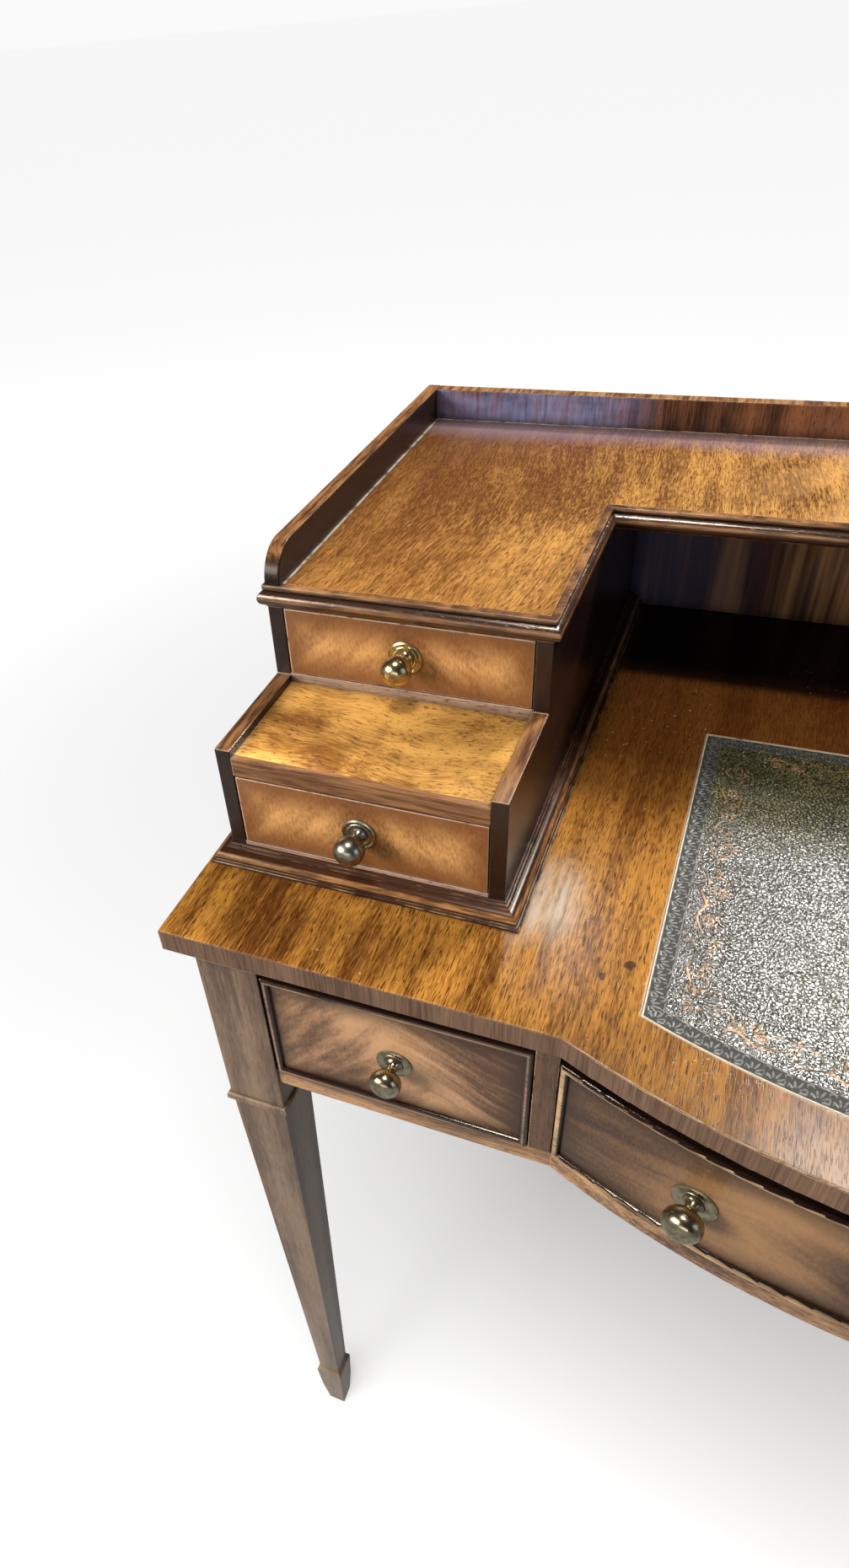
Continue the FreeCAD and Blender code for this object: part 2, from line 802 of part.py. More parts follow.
def tails(z, count, root_y, end_y):
    # Dovetail outlines up one end of a board, from the lower height to the upper one.
    pitch = (z[1] - z[0]) / count
    flare = (root_y - end_y if root_y.number > end_y.number else end_y - root_y) * tail_flare_share
    half_end = (pitch - size.pin_width) / 2
    corners = []
    for number in range(count):
        centre = z[0] + pitch * (number + 0.5)
        corners += [(root_y, centre - half_end + flare), (end_y, centre - half_end),
                    (end_y, centre + half_end), (root_y, centre + half_end - flare)]
    return corners


def dovetailed_side(socket_y, back_y, z, back_z, stock):
    # A drawer side with lapped tails for the front and through tails for the back.
    front_y, tail_end = socket_y
    shoulder = back_y - stock.board
    return ([(front_y, z[0])] + tails(z, stock.tails, front_y, tail_end) + [(front_y, z[1])]
            + [(back_y, z[1]), (back_y, back_z[1]), (shoulder, back_z[1])]
            + tails(back_z, stock.tails, shoulder, back_y)[::-1]
            + [(shoulder, back_z[0]), (back_y, back_z[0]), (back_y, z[0])])


def make_bead(name, face, x, z, stock):
    nose = stock.setback - size.bead_proud
    body = slab(name + "_cock_bead", between(face(x, nose), face(x, nose + size.bead_depth)), z)
    inner_x = shrunk(x, size.bead_width)
    inner_z = shrunk(z, size.bead_width)
    corners = between(face(inner_x, -size.bead_depth), face(inner_x, nose + 2 * size.bead_depth))
    pocket(body, outline(body, "XY_Plane", inner_z[0], corners), inner_z[1] - inner_z[0])
    rounded(body, size.bead_round, nose_edges(face, nose))
    node(body)


def nose_edges(face, nose):
    # Picks the edges that lie on the bead's outermost face.
    def chosen(box):
        ends = [((box.XMin, box.XMax), y) for y in (box.YMin, box.YMax)]
        level = [face((as_size(x[0]), as_size(x[1])), nose) for x, _ in ends]
        start_y, end_y = level[0][0][1].number, level[0][1][1].number
        if face is bowed_face and box.XMin < 0 < box.XMax:
            return near(box.YMin, front_edge - size.bow_rise + nose)
        touches = abs(box.YMin - min(start_y, end_y)) < hair and abs(box.YMax - max(start_y, end_y)) < hair
        return touches
    return chosen


def make_drawer(name, face, x, z, seat, stock, knob, spots, back_y, beaded):
    blank, socket_y = make_front(name, face, x, z, stock, beaded)
    side_x = ((x[0], x[0] + stock.board), (x[1] - stock.board, x[1]))
    side_z = (seat + size.running_gap, z[1] - stock.side_drop)
    floor_z = (z[0] + stock.lift, z[0] + stock.lift + stock.floor)
    back_z = (floor_z[1], side_z[1] - stock.back_drop)
    floor_x = shrunk(x, stock.board - stock.groove)
    start, end, arc = face(floor_x, stock.setback + stock.thickness - stock.groove)
    floor = slab(name + "_floor", [start + arc, end, (floor_x[1], back_y), (floor_x[0], back_y)], floor_z)
    side_outline = dovetailed_side(socket_y, back_y, side_z, back_z, stock)
    planks = [upright("%s_%s_plank" % (name, side_name), side_outline, pair)
              for side_name, pair in zip(("left", "right"), side_x)]
    pieces = [cut(plank.Label.replace("plank", "side"), plank, [floor]) for plank in planks]
    back_blank = board(name + "_back_blank", x, (back_y - stock.board, back_y), back_z)
    pieces += [floor, cut(name + "_back", back_blank, planks)]
    node(group(name + "_box", pieces))
    drills = [set_at(group("%s_drill_%d" % (name, number), [knob.drill]), spot)
              for number, spot in enumerate(spots)]
    node(cut(name + "_front", blank, planks + [floor] + drills))
    knobs = [set_at(group("%s_knob_%d" % (name, number), knob.pieces), spot)
             for number, spot in enumerate(spots)]
    if len(knobs) == 1:
        knobs[0].Label = name + "_knob"
        node(knobs[0])
    else:
        node(group(name + "_knobs", knobs))
    if beaded:
        make_bead(name, face, x, z, stock)


def make_drawers():
    apron = SimpleNamespace(
        thickness=size.front_thickness, setback=size.face_setback, landing=0, board=size.drawer_board,
        floor=size.drawer_floor, lift=size.drawer_floor_lift, groove=size.drawer_groove,
        side_drop=size.drawer_side_drop, back_drop=size.drawer_back_drop, tails=3)
    bowed = SimpleNamespace(**vars(apron))
    bowed.landing = size.bow_landing
    small = SimpleNamespace(
        thickness=size.small_thickness, setback=size.small_setback, landing=0, board=size.small_board,
        floor=size.small_floor, lift=size.small_floor_lift, groove=size.small_groove,
        side_drop=size.small_side_drop, back_drop=size.small_back_drop, tails=2)
    apron_knob = make_knob("apron", size.front_thickness)
    bow_knob = make_knob("bow", size.front_thickness)
    small_knob = make_knob("small", size.small_thickness)
    back_y = back_apron_y[0] - size.drawer_back_gap
    under = rail_top + size.front_under_gap

    z = (under, under_top_rail - size.front_over_gap)
    knob_z = middle(z) - size.apron_knob_drop
    for name, side in SIDES:
        x = shrunk(span(side, partition_outer, leg_inner), size.front_side_gap)
        spot = (middle(x), front_edge + size.face_setback, knob_z, None)
        make_drawer(name + "_apron_drawer", straight_face(front_edge), x, z, rail_top, apron, apron_knob,
                    [spot], back_y, True)

    z = (under, under_top_rail - size.bow_over_gap)
    knob_z = middle(z) - size.apron_knob_drop
    x = shrunk((-size.bow_half_width, size.bow_half_width), size.front_side_gap)
    spots = []
    for name, side in SIDES:
        offset = side * size.bow_knob_offset
        tilt = "asin(%s)" % (offset / (bow_radius - size.face_setback)).formula
        spots.append((offset, bow_y(offset, size.face_setback), knob_z, tilt))
    make_drawer("bow_drawer", bowed_face, x, z, rail_top, bowed, bow_knob, spots, back_y, True)

    back_y = panel_y[0] - size.small_back_gap
    for tier, y, low, high in (("lower", pedestal_y, base_top, under_tray),
                               ("upper", riser_y, riser_top, under_shelf)):
        z = (low + size.small_under_gap, high - size.small_over_gap)
        for name, side in SIDES:
            x = shrunk(span(side, bay_inner, bay_outer), size.small_side_gap)
            spot = (middle(x), y + size.small_setback, middle(z), None)
            make_drawer("%s_%s_drawer" % (name, tier), straight_face(y), x, z, low, small, small_knob,
                        [spot], back_y, False)


def check_and_write():
    doc.recompute()
    for thing in doc.Objects:
        if "Invalid" in thing.State or "Error" in thing.State:
            raise RuntimeError("%s did not build: %s" % (thing.Label, thing.State))
    for thing in nodes:
        if thing.Shape.isNull() or not thing.Shape.isValid() or not thing.Shape.Solids:
            raise RuntimeError("%s has no valid shape" % thing.Label)
    os.makedirs("parts", exist_ok=True)
    for thing in nodes:
        thing.Shape.exportStep("parts/%s.step" % thing.Label)
    print("%d nodes written" % len(nodes))


make_desktop()
make_legs()
make_rails()
make_top_rails()
make_aprons_and_partitions()
make_runners()
make_stops()
make_pedestals()
make_shelf()
make_gallery()
make_drawers()
check_and_write()
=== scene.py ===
import math
import bmesh
import bpy
from mathutils import Matrix, Vector


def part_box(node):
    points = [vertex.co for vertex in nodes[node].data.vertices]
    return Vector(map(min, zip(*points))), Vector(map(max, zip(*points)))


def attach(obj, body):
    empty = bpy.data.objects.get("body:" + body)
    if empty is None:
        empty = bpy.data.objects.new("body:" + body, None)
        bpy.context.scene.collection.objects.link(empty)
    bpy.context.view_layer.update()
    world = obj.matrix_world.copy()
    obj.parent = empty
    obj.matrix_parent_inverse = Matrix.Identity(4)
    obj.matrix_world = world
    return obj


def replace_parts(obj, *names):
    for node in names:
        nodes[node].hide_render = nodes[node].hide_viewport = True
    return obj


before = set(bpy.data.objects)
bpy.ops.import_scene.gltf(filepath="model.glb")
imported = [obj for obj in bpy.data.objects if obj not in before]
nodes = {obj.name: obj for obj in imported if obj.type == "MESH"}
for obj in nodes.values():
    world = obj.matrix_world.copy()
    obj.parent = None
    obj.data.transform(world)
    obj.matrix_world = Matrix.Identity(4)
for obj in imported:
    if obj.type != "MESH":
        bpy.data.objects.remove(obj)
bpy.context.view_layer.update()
print("frame loaded:", len(nodes), "nodes")


# Camera and light

view = {
    "place": (-0.178832, -0.526776, 1.171674),
    "turn": -0.4643034,       # round the upright axis, to the left
    "tip": 0.7290112,         # downwards
    "roll": -0.1066505,
    "lens": 22.10272,
    "sensor": 36,             # on the long side
    "shift": (0.051350, 0.043854),
    "reach": (0.02, 200),     # nearest and farthest distance seen
}


def linked(name, data):
    thing = bpy.data.objects.new(name, data)
    bpy.context.scene.collection.objects.link(thing)
    return thing


def setCamera():
    data = bpy.data.cameras.new("deskCamera")
    data.sensor_fit = "AUTO"
    data.sensor_width = view["sensor"]
    data.lens = view["lens"]
    data.shift_x, data.shift_y = view["shift"]
    data.clip_start, data.clip_end = view["reach"]
    turn, tip, roll = view["turn"], view["tip"], view["roll"]
    ahead = Vector((math.sin(turn) * math.cos(tip), math.cos(turn) * math.cos(tip), -math.sin(tip)))
    level = Vector((math.cos(turn), -math.sin(turn), 0))
    upright = level.cross(ahead)
    right = math.cos(roll) * level + math.sin(roll) * upright
    up = -math.sin(roll) * level + math.cos(roll) * upright
    camera = linked("deskCamera", data)
    camera.matrix_world = Matrix.Translation(view["place"]) @ Matrix((right, up, -ahead)).transposed().to_4x4()
    bpy.context.scene.camera = camera


lamps = {
    # small and bright over the front, for the sharp shadow under the shelf
    "top": {"place": (-0.42, -0.56, 2.62), "size": (0.30, 0.36), "watts": 26,
            "colour": (1.0, 0.95, 0.87), "target": (-0.25, -0.1, 0.76)},
    # window light from behind, its glare lies on the leather
    "back": {"place": (0.47, 1.43, 2.50), "size": (0.46, 0.36), "watts": 86,
             "colour": (1.0, 0.98, 0.95), "target": (-0.1, -0.1, 0.76)},
    # its glare lies beside the pedestal's front corner
    "corner": {"place": (-0.46, 1.38, 2.40), "size": (0.20, 0.30), "watts": 4.4,
               "colour": (1.0, 0.98, 0.95), "target": (-0.23, -0.09, 0.76)},
    # and this one's on the bowed front of the top
    "bow": {"place": (0.27, 0.95, 2.57), "size": (0.30, 0.22), "watts": 18,
            "colour": (1.0, 0.97, 0.95), "target": (0.1, -0.25, 0.76)},
    # soft box in front on the left, for the upright faces
    "left": {"place": (-2.1, -1.9, 1.75), "size": (1.4, 1.0), "watts": 112,
             "colour": (1.0, 0.95, 0.87), "target": (-0.2, -0.1, 0.75)},
    # weak fill that reaches into the recess
    "front": {"place": (-0.3, -2.6, 0.95), "size": (1.6, 0.6), "watts": 9,
              "colour": (1.0, 0.95, 0.88), "target": (0, 0.25, 0.85)},
    # weak bluish daylight from the right
    "cool": {"place": (2.2, -1.0, 1.6), "size": (1.4, 1.4), "watts": 9,
             "colour": (0.70, 0.78, 1.0), "target": (-0.2, 0.1, 0.8)},
    # straight down on the floor alone, for a soft shadow under the desk
    "floor": {"place": (-0.3, -1.15, 2.9), "size": (1.7, 1.7), "watts": 94,
              "colour": (1, 1, 1), "target": (-0.3, -1.149, 0)},
}
studio = {
    "world": 0.04,            # the world's strength on the desk
    "backdrop": 0.955,        # and to the eye
    "floorHalf": 60,
    "floorRough": 0.9,
    "floorColour": 0.8,
    "floorNear": 0.37,        # the floor's own glow at the desk
    "floorFar": 0.90,
    "glowReach": (0.7, 3.2),  # over which it grows
    "bounce": 0.28,           # glow and colour of the floor for the polish above it
    "bounceColour": 0.25,
}


def setLights(floor):
    for name, look in lamps.items():
        data = bpy.data.lights.new(name + "Lamp", "AREA")
        data.shape = "RECTANGLE"
        data.size, data.size_y = look["size"]
        data.energy = look["watts"]
        data.color = look["colour"]
        lamp = linked(name + "Lamp", data)
        lamp.location = look["place"]
        lamp.rotation_mode = "QUATERNION"
        lamp.rotation_quaternion = (Vector(look["target"]) - Vector(look["place"])).to_track_quat("-Z", "Y")
        # the floor has a lamp of its own, and the others leave it out
        receivers = bpy.data.collections.new(lamp.name + "Receivers")
        receivers.objects.link(floor)
        receivers.collection_objects[0].light_linking.link_state = "INCLUDE" if name == "floor" else "EXCLUDE"
        lamp.light_linking.receiver_collection = receivers

    world = bpy.data.worlds.new("studio")
    bpy.context.scene.world = world
    world.use_nodes = True
    world.node_tree.nodes.clear()
    start = Wire(world.node_tree)
    seen = start.make("LightPath", {}, {}, "Is Camera Ray")
    strength = seen * (studio["backdrop"] - studio["world"]) + studio["world"]
    glow = start.make("Background", {}, {"Color": (1, 1, 1, 1), "Strength": strength})
    start.make("OutputWorld", {}, {"Surface": glow}, None)
    bpy.context.scene.view_settings.view_transform = "Standard"


# Shader wiring

class Wire:
    # One socket of a node tree. Sums and products of wires add their Math nodes.
    def __init__(self, tree, socket=None):
        self.tree = tree
        self.socket = socket

    def make(self, kind, settings, links, give=0):
        whole = kind.startswith(("Geometry", "Function", "Node"))
        node = self.tree.nodes.new(kind if whole else "ShaderNode" + kind)
        for key, value in settings.items():
            setattr(node, key, value)
        for key, value in links.items():
            for each in value if isinstance(value, list) else [value]:
                if isinstance(each, Wire):
                    self.tree.links.new(each.socket, node.inputs[key])
                else:
                    node.inputs[key].default_value = each
        return None if give is None else Wire(self.tree, node.outputs[give])

    def maths(self, operation, *values):
        return self.make("Math", {"operation": operation}, dict(enumerate(values)))

    def __add__(self, other):
        return self.maths("ADD", self, other)

    def __sub__(self, other):
        return self.maths("SUBTRACT", self, other)

    def __rsub__(self, other):
        return self.maths("SUBTRACT", other, self)

    def __mul__(self, other):
        return self.maths("MULTIPLY", self, other)

    def __truediv__(self, other):
        return self.maths("DIVIDE", self, other)

    __radd__ = __add__
    __rmul__ = __mul__

    def absolute(self):
        return self.maths("ABSOLUTE", self)

    def vector(self, operation, other, give=0):
        return self.make("VectorMath", {"operation": operation}, {0: self, 1: other}, give)

    def scaled(self, factor):
        return self.make("VectorMath", {"operation": "SCALE"}, {0: self, "Scale": factor})

    def blend(self, low, high):
        # a colour between two, by this mask
        sides = [side if isinstance(side, Wire) else (*side, 1) for side in (low, high)]
        return self.make("Mix", {"data_type": "RGBA"}, {0: self, 6: sides[0], 7: sides[1]}, 2)

    def smooth(self, low, high):
        return self.make("MapRange", {"interpolation_type": "SMOOTHSTEP"}, {0: self, 1: low, 2: high, 3: 0, 4: 1})

    def noise(self, scale, detail=2, rough=0.5, give=0):
        return self.make("TexNoise", {}, {"Vector": self, "Scale": scale, "Detail": detail, "Roughness": rough}, give)

    def drawn(self, scales, detail=3, rough=0.6):
        # noise with a scale of its own along each axis
        return self.vector("MULTIPLY", scales).noise(1, detail, rough)

    def axes(self):
        return [self.make("SeparateXYZ", {}, {0: self}, axis) for axis in range(3)]


def begin(name):
    material = bpy.data.materials.new(name)
    material.use_nodes = True
    material.node_tree.nodes.clear()
    start = Wire(material.node_tree)
    return material, start, start.make("TexCoord", {}, {}, "Object")


def facing(start):
    return start.make("TexCoord", {}, {}, "Normal").axes()


def tinted(colour, mask, strength, tone):
    return (mask * strength).blend(colour, tone)


def close(start, sockets):
    shader = start.make("BsdfPrincipled", {}, sockets)
    start.make("OutputMaterial", {}, {"Surface": shader}, None)


def dress(material, names):
    for name in names:
        slots = nodes[name].material_slots
        if slots:
            for slot in slots:
                slot.material = material
        else:
            nodes[name].data.materials.append(material)


def called(*parts):
    return [name for name in nodes if all(part in name for part in parts)]


# Wood

plainWood = {
    "grain": "y", "bend": 0.006, "bendScale": 7,
    "ribbonWidth": 0.018, "ribbonLength": 0.5, "ribbon": 0.75, "ribbonSpan": (0.34, 0.66),
    "cloud": 0.35, "cloudScale": 9, "cloudSpan": (0.3, 0.7), "fibre": 0.6, "streak": 0.5, "fleck": 0.7,
    "pale": (0.50, 0.19, 0.034), "dark": (0.13, 0.034, 0.006), "pore": (0.035, 0.010, 0.004),
    "poreWidth": 0.0009, "poreLength": 0.0055, "poreEdge": 0.60, "poreSpan": 0.10, "poreShade": 0.7,
    "arris": 0.0010, "rubFrom": 0.03, "rubSpan": 0.2, "patchScale": 60, "patchFrom": 0.35, "patchSpan": 0.16,
    "wear": 0.5, "worn": (0.55, 0.36, 0.20), "samples": 6,
    "dirt": 0.75, "dirtReach": 0.012, "dirtSpan": (0.25, 0.95), "dirtAndShadeColour": (0.012, 0.006, 0.004),
    "bump": 0.25, "bumpDepth": 0.00025, "fibreHeight": 0.25, "poreDepth": 0.8,
    "rough": 0.24, "roughCloud": 0.12, "roughRub": 0.15, "shine": 0.5, "shineTint": (1, 0.93, 0.84),
}
grainScales = {"fibre": (1500, 70), "streak": (420, 16), "fleck": (850, 80)}      # across and along the grain


def finish(**changes):
    return {**plainWood, **changes}


def fading(where, look):
    # ribbons weaken towards the middle of the desk
    side = where.axes()[0].absolute()
    return side.smooth(*look["fade"]) * (look["ribbon"] - look["ribbonMiddle"]) + look["ribbonMiddle"]


def woodBase(where, look):
    # colour, pore mask, fibre and cloud of one board
    bend = where.noise(look["bendScale"], 2, 0.5, 1)
    bent = where.vector("ADD", bend.vector("MULTIPLY", (look["bend"],) * 3))

    def along(across, length, detail=2, rough=0.6):
        return bent.drawn(tuple(length if axis == look["grain"] else across for axis in "xyz"), detail, rough)

    ribbon = along(1 / look["ribbonWidth"], 1 / look["ribbonLength"], 3).smooth(*look["ribbonSpan"])
    cloud = where.noise(look["cloudScale"], 3, 0.6)
    strength = fading(where, look) if "fade" in look else look["ribbon"]
    tone = (ribbon - 0.5) * strength + (cloud.smooth(*look["cloudSpan"]) - 0.5) * look["cloud"]
    layers = {part: along(*scales) for part, scales in grainScales.items()}
    for part, layer in layers.items():
        tone = tone + (layer - 0.5) * look[part]
    colour = (tone + 0.5).smooth(0, 1).blend(look["dark"], look["pale"])
    pores = along(1 / look["poreWidth"], 1 / look["poreLength"], 1, 0.5)
    pores = pores.smooth(look["poreEdge"], look["poreEdge"] + look["poreSpan"])
    return tinted(colour, pores, look["poreShade"], look["pore"]), pores, layers["fibre"], cloud


def woodFinish(name, look, alter=None):
    material, start, where = begin(name)
    colour, pores, fibre, cloud = woodBase(where, look)
    if alter:
        colour = alter(start, where, colour)
    # dirt and painted shade: darker in corners, hollows and under overhangs
    exposed = start.make("AmbientOcclusion", {"samples": look["samples"]}, {"Distance": look["dirtReach"]}, "AO")
    colour = tinted(colour, 1 - exposed.smooth(*look["dirtSpan"]), look["dirt"], look["dirtAndShadeColour"])
    # the polish is rubbed through in patches where the surface turns within the arris
    rounded = start.make("Bevel", {"samples": look["samples"]}, {"Radius": look["arris"]})
    turn = 1 - rounded.vector("DOT_PRODUCT", start.make("NewGeometry", {}, {}, "True Normal"), 1)
    rub = turn.smooth(look["rubFrom"], look["rubFrom"] + look["rubSpan"])
    patches = where.noise(look["patchScale"], 3, 0.65)
    rub = rub * patches.smooth(look["patchFrom"], look["patchFrom"] + look["patchSpan"]) * look["wear"]
    colour = rub.blend(colour, look["worn"])
    height = fibre * look["fibreHeight"] - pores * look["poreDepth"]
    bump = start.make("Bump", {}, {"Strength": look["bump"], "Distance": look["bumpDepth"], "Height": height,
                                   "Normal": rounded})
    rough = cloud * look["roughCloud"] + (look["rough"] - look["roughCloud"] / 2) + rub * look["roughRub"]
    close(start, {"Base Color": colour, "Roughness": rough, "Normal": bump, "Specular IOR Level": look["shine"],
                  "Specular Tint": (*look["shineTint"], 1)})
    return material


# Desktop

desktopLook = finish(
    ribbon=0.58, ribbonWidth=0.022, cloud=0.32, fade=(0.24, 0.34), ribbonMiddle=0.45, fleck=1.3,
    poreWidth=0.0006, poreLength=0.0078, poreEdge=0.56, poreShade=0.85,
    pale=(0.38, 0.172, 0.031), dark=(0.080, 0.027, 0.006), worn=(0.58, 0.46, 0.34), wear=1.0, patchFrom=0.26,
    arris=0.0018, shine=0.08, rough=0.16, bump=0.12)
desktopMarks = {
    "top": 0.762,
    "paintedShadeBack": (-0.11, 0.08),         # painted shade under the shelf: darker and redder towards the back
    "paintedShadeEnds": (0.25, 0.28),
    "kept": (0.72, (0.098, 0.026, 0.006)),
    "paintedShadowBack": (0.138, 0.150),        # painted shadow, darkest far under the shelf
    "paintedShadow": (0.92, (0.012, 0.005, 0.004)),
    "burns": ((-0.1985, -0.1545, 0.0065), (-0.2114, -0.1672, 0.0055)),     # x, y and reach
    "spots": (0.85, (0.030, 0.012, 0.006)),
    "scuffs": (0.6, (0.62, 0.50, 0.36)),
    "greyedFrontFrom": (-0.275, -0.17),   # greyer and darker towards the bowed front
    "greyedFrontEnds": (0.20, 0.27),
    "greyedFront": (0.75, (0.080, 0.044, 0.026)),
    "paintedSheenAt": (-0.254, -0.118),       # painted glare, pale and streaked, beside the left pedestal's front corner
    "paintedSheenReach": (0.008, 0.050),
    "paintedSheen": (0.42, 0.36, 0.29),
    "wings": (0.26, 0.34),
    "wingPaintedLight": (0.22, 0.78),         # the wings painted lighter than the middle, for the back lamp's light that the pedestals keep off them
}
edgeBandLook = {"lines": (900, 900, 30), "broad": (28, 28, 3), "dark": (0.052, 0.029, 0.019),
                "pale": (0.185, 0.112, 0.075)}


def edgeBand(start, where, colour):
    # crossbanded edge: grey brown with upright fibres, below the polished top
    look = edgeBandLook
    lines, broad = where.drawn(look["lines"], 2), where.drawn(look["broad"], 2)
    band = (lines * 0.5 + broad * 0.6).smooth(0.3, 0.8).blend(look["dark"], look["pale"])
    return facing(start)[2].smooth(0.35, 0.75).blend(band, colour)


def desktopShade(start, where, colour):
    # what years of use have left on the top, painted shade under the shelf, a painted glare, the wings painted
    # lighter, and the edge band
    marks = desktopMarks
    x, y, _ = where.axes()
    side = x.absolute()
    drift = where.noise(9, 3, 0.6) * 0.10 - 0.05
    # painted shade under the shelf, then a painted shadow that is near black far under it
    kept = (y + drift).smooth(*marks["paintedShadeBack"]) * (1 - side.smooth(*marks["paintedShadeEnds"]))
    colour = tinted(colour, kept, *marks["kept"])
    colour = tinted(colour, kept * y.smooth(*marks["paintedShadowBack"]), *marks["paintedShadow"])
    spots = where.noise(38, 2, 0.6).smooth(0.73, 0.76) * 0.7
    ragged = where.noise(260, 2, 0.6) * 0.006
    for x0, y0, reach in marks["burns"]:
        off = where.vector("DISTANCE", (x0, y0, marks["top"]), 1) + ragged
        spots = spots.maths("MAXIMUM", spots, 1 - off.smooth(reach * 0.8, reach * 1.1))
    colour = tinted(colour, spots, *marks["spots"])
    scuffs = where.noise(330, 2, 0.5).smooth(0.70, 0.76) * where.noise(11, 2, 0.6).smooth(0.52, 0.66)
    colour = tinted(colour, scuffs, *marks["scuffs"])
    greyedFront = (1 - (y + drift * 0.6).smooth(*marks["greyedFrontFrom"])) * (1 - side.smooth(*marks["greyedFrontEnds"]))
    colour = tinted(colour, greyedFront, *marks["greyedFront"])
    # painted glare: a pale streaked patch beside the left pedestal's front corner
    x0, y0 = marks["paintedSheenAt"]
    away = where.vector("SUBTRACT", (x0, y0, marks["top"])).vector("MULTIPLY", (1.6, 1, 1))
    paintedSheenMask = 1 - away.vector("LENGTH", (0, 0, 0), 1).smooth(*marks["paintedSheenReach"])
    streaks = where.drawn((260, 40, 1)).smooth(0.3, 0.65) * 0.6 + 0.2
    colour = tinted(colour, paintedSheenMask, streaks, marks["paintedSheen"])
    # painted light: the wings lighter and the middle darker
    more, middle = marks["wingPaintedLight"]
    colour = colour.scaled(side.smooth(*marks["wings"]) * more + middle)
    return edgeBand(start, where, colour)


# Shelf and gallery

shelfLook = finish(
    bend=0.06, bendScale=3.0, ribbon=0.35, ribbonWidth=0.022, ribbonLength=0.18, cloudScale=5, fleck=1.5,
    poreWidth=0.0007, poreLength=0.0062, poreEdge=0.55, poreShade=0.72,
    pale=(0.38, 0.194, 0.050), dark=(0.080, 0.030, 0.009), shine=0.20, bump=0.15)
shelfMarks = {
    "galleryBack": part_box("gallery_back")[0][1],           # the inner faces of the gallery
    "gallerySide": -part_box("gallery_side_left")[1][0],
    "curlAt": (0.03, 0.02, 0.9),       # a pale curl in the figure at the middle
    "curlRings": 34,
    "curlEnds": (0.04, 0.24),
    "curl": (0.6, (0.42, 0.235, 0.088)),
    "out": (0.16, 0.46),               # redder towards the ends, darkest in the back corners
    "outer": (0.42, (0.120, 0.036, 0.006)),
    "cornerBack": (0.05, 0.40),
    "corner": (0.75, (0.048, 0.015, 0.007)),
    "paintedReflectionSpan": (0.045, 0.010),        # painted bluish reflection of the gallery, in front of it, on the left
    "paintedReflectionEnd": (0.02, 0.30),
    "paintedReflection": (0.55, (0.150, 0.115, 0.150)),
    "dustSpan": (0.0022, 0.0012),      # at the gallery's foot
    "dust": (0.8, (0.62, 0.55, 0.46)),
}


def shelfShade(start, where, colour):
    marks = shelfMarks
    x, y, _ = where.axes()
    side = x.absolute()
    drift = where.noise(6, 3, 0.6) * 0.24 - 0.12
    rings = where.vector("DISTANCE", marks["curlAt"], 1) * marks["curlRings"] + drift * 9
    curl = start.make("CombineXYZ", {}, {0: rings, 1: x * 7}).noise(1, 3, 0.6).smooth(0.38, 0.62)
    colour = tinted(colour, curl * (1 - side.smooth(*marks["curlEnds"])), *marks["curl"])
    out = (side + drift).smooth(*marks["out"])
    colour = tinted(colour, out, *marks["outer"])
    colour = tinted(colour, out * (y + drift + 0.1).smooth(*marks["cornerBack"]), *marks["corner"])
    top = facing(start)[2].smooth(0.6, 0.9)

    def strip(distance, edge, span):
        return distance.smooth(edge - span[0], edge - span[1])

    # painted reflection: bluish haze on the shelf top in front of the gallery
    paintedReflection = strip(y + drift * 0.1, marks["galleryBack"], marks["paintedReflectionSpan"]) * (1 - x.smooth(*marks["paintedReflectionEnd"]))
    colour = tinted(colour, paintedReflection * top, *marks["paintedReflection"])
    foot = strip(y - drift * 0.004, marks["galleryBack"], marks["dustSpan"])
    foot = foot.maths("MAXIMUM", foot, strip(side, marks["gallerySide"], marks["dustSpan"]))
    return tinted(colour, foot * (where.noise(120, 3, 0.6).smooth(0.30, 0.60) * top), *marks["dust"])


# reach and colour of a painted bluish reflection on the gallery's inner face
paintedSheenLook = {"ends": (0.26, 0.31), "colour": (0.20, 0.24, 0.46)}


def paintedLitTops(dark, pale, paintedSheen=0):
    # faces that look up are painted golden, partly rubbed wood and partly painted light from above; upright faces
    # keep the dark polish
    def shade(start, where, colour):
        _, behind, up = facing(start)
        top = where.drawn((260, 26, 260), 3, 0.65).smooth(0.34, 0.66).blend(dark, pale)
        if paintedSheen:
            # painted bluish reflection streaks on the inner face, towards the ends
            fine = where.drawn((420, 30, 60))
            lines = (where.drawn((9, 9, 30)) * 0.75 + fine * 0.35).smooth(0.3, 0.75)
            inner = (1 - behind.smooth(-0.9, -0.5)) * where.axes()[0].absolute().smooth(*paintedSheenLook["ends"])
            colour = tinted(colour, lines * inner, paintedSheen, paintedSheenLook["colour"])
        return up.smooth(0.5, 0.85).blend(colour, top)

    return shade


# Pedestals

trayLook = finish(
    grain="x", bend=0.08, ribbon=0.35, ribbonWidth=0.03, ribbonLength=0.2, cloud=0.75, cloudScale=13,
    poreShade=0.65, poreWidth=0.0014, poreLength=0.006, pale=(0.63, 0.340, 0.086), dark=(0.14, 0.052, 0.011),
    worn=(0.75, 0.55, 0.40), shine=0.3)
lipping = {
    "joint": (-0.1349, -0.1346),       # y of the glue line behind it
    "dark": (0.075, 0.031, 0.014),
    "pale": (0.225, 0.110, 0.048),
    "outside": (0.30, 0.43),           # the tray is brighter there
    "brighter": (0.48, 0.74),
}


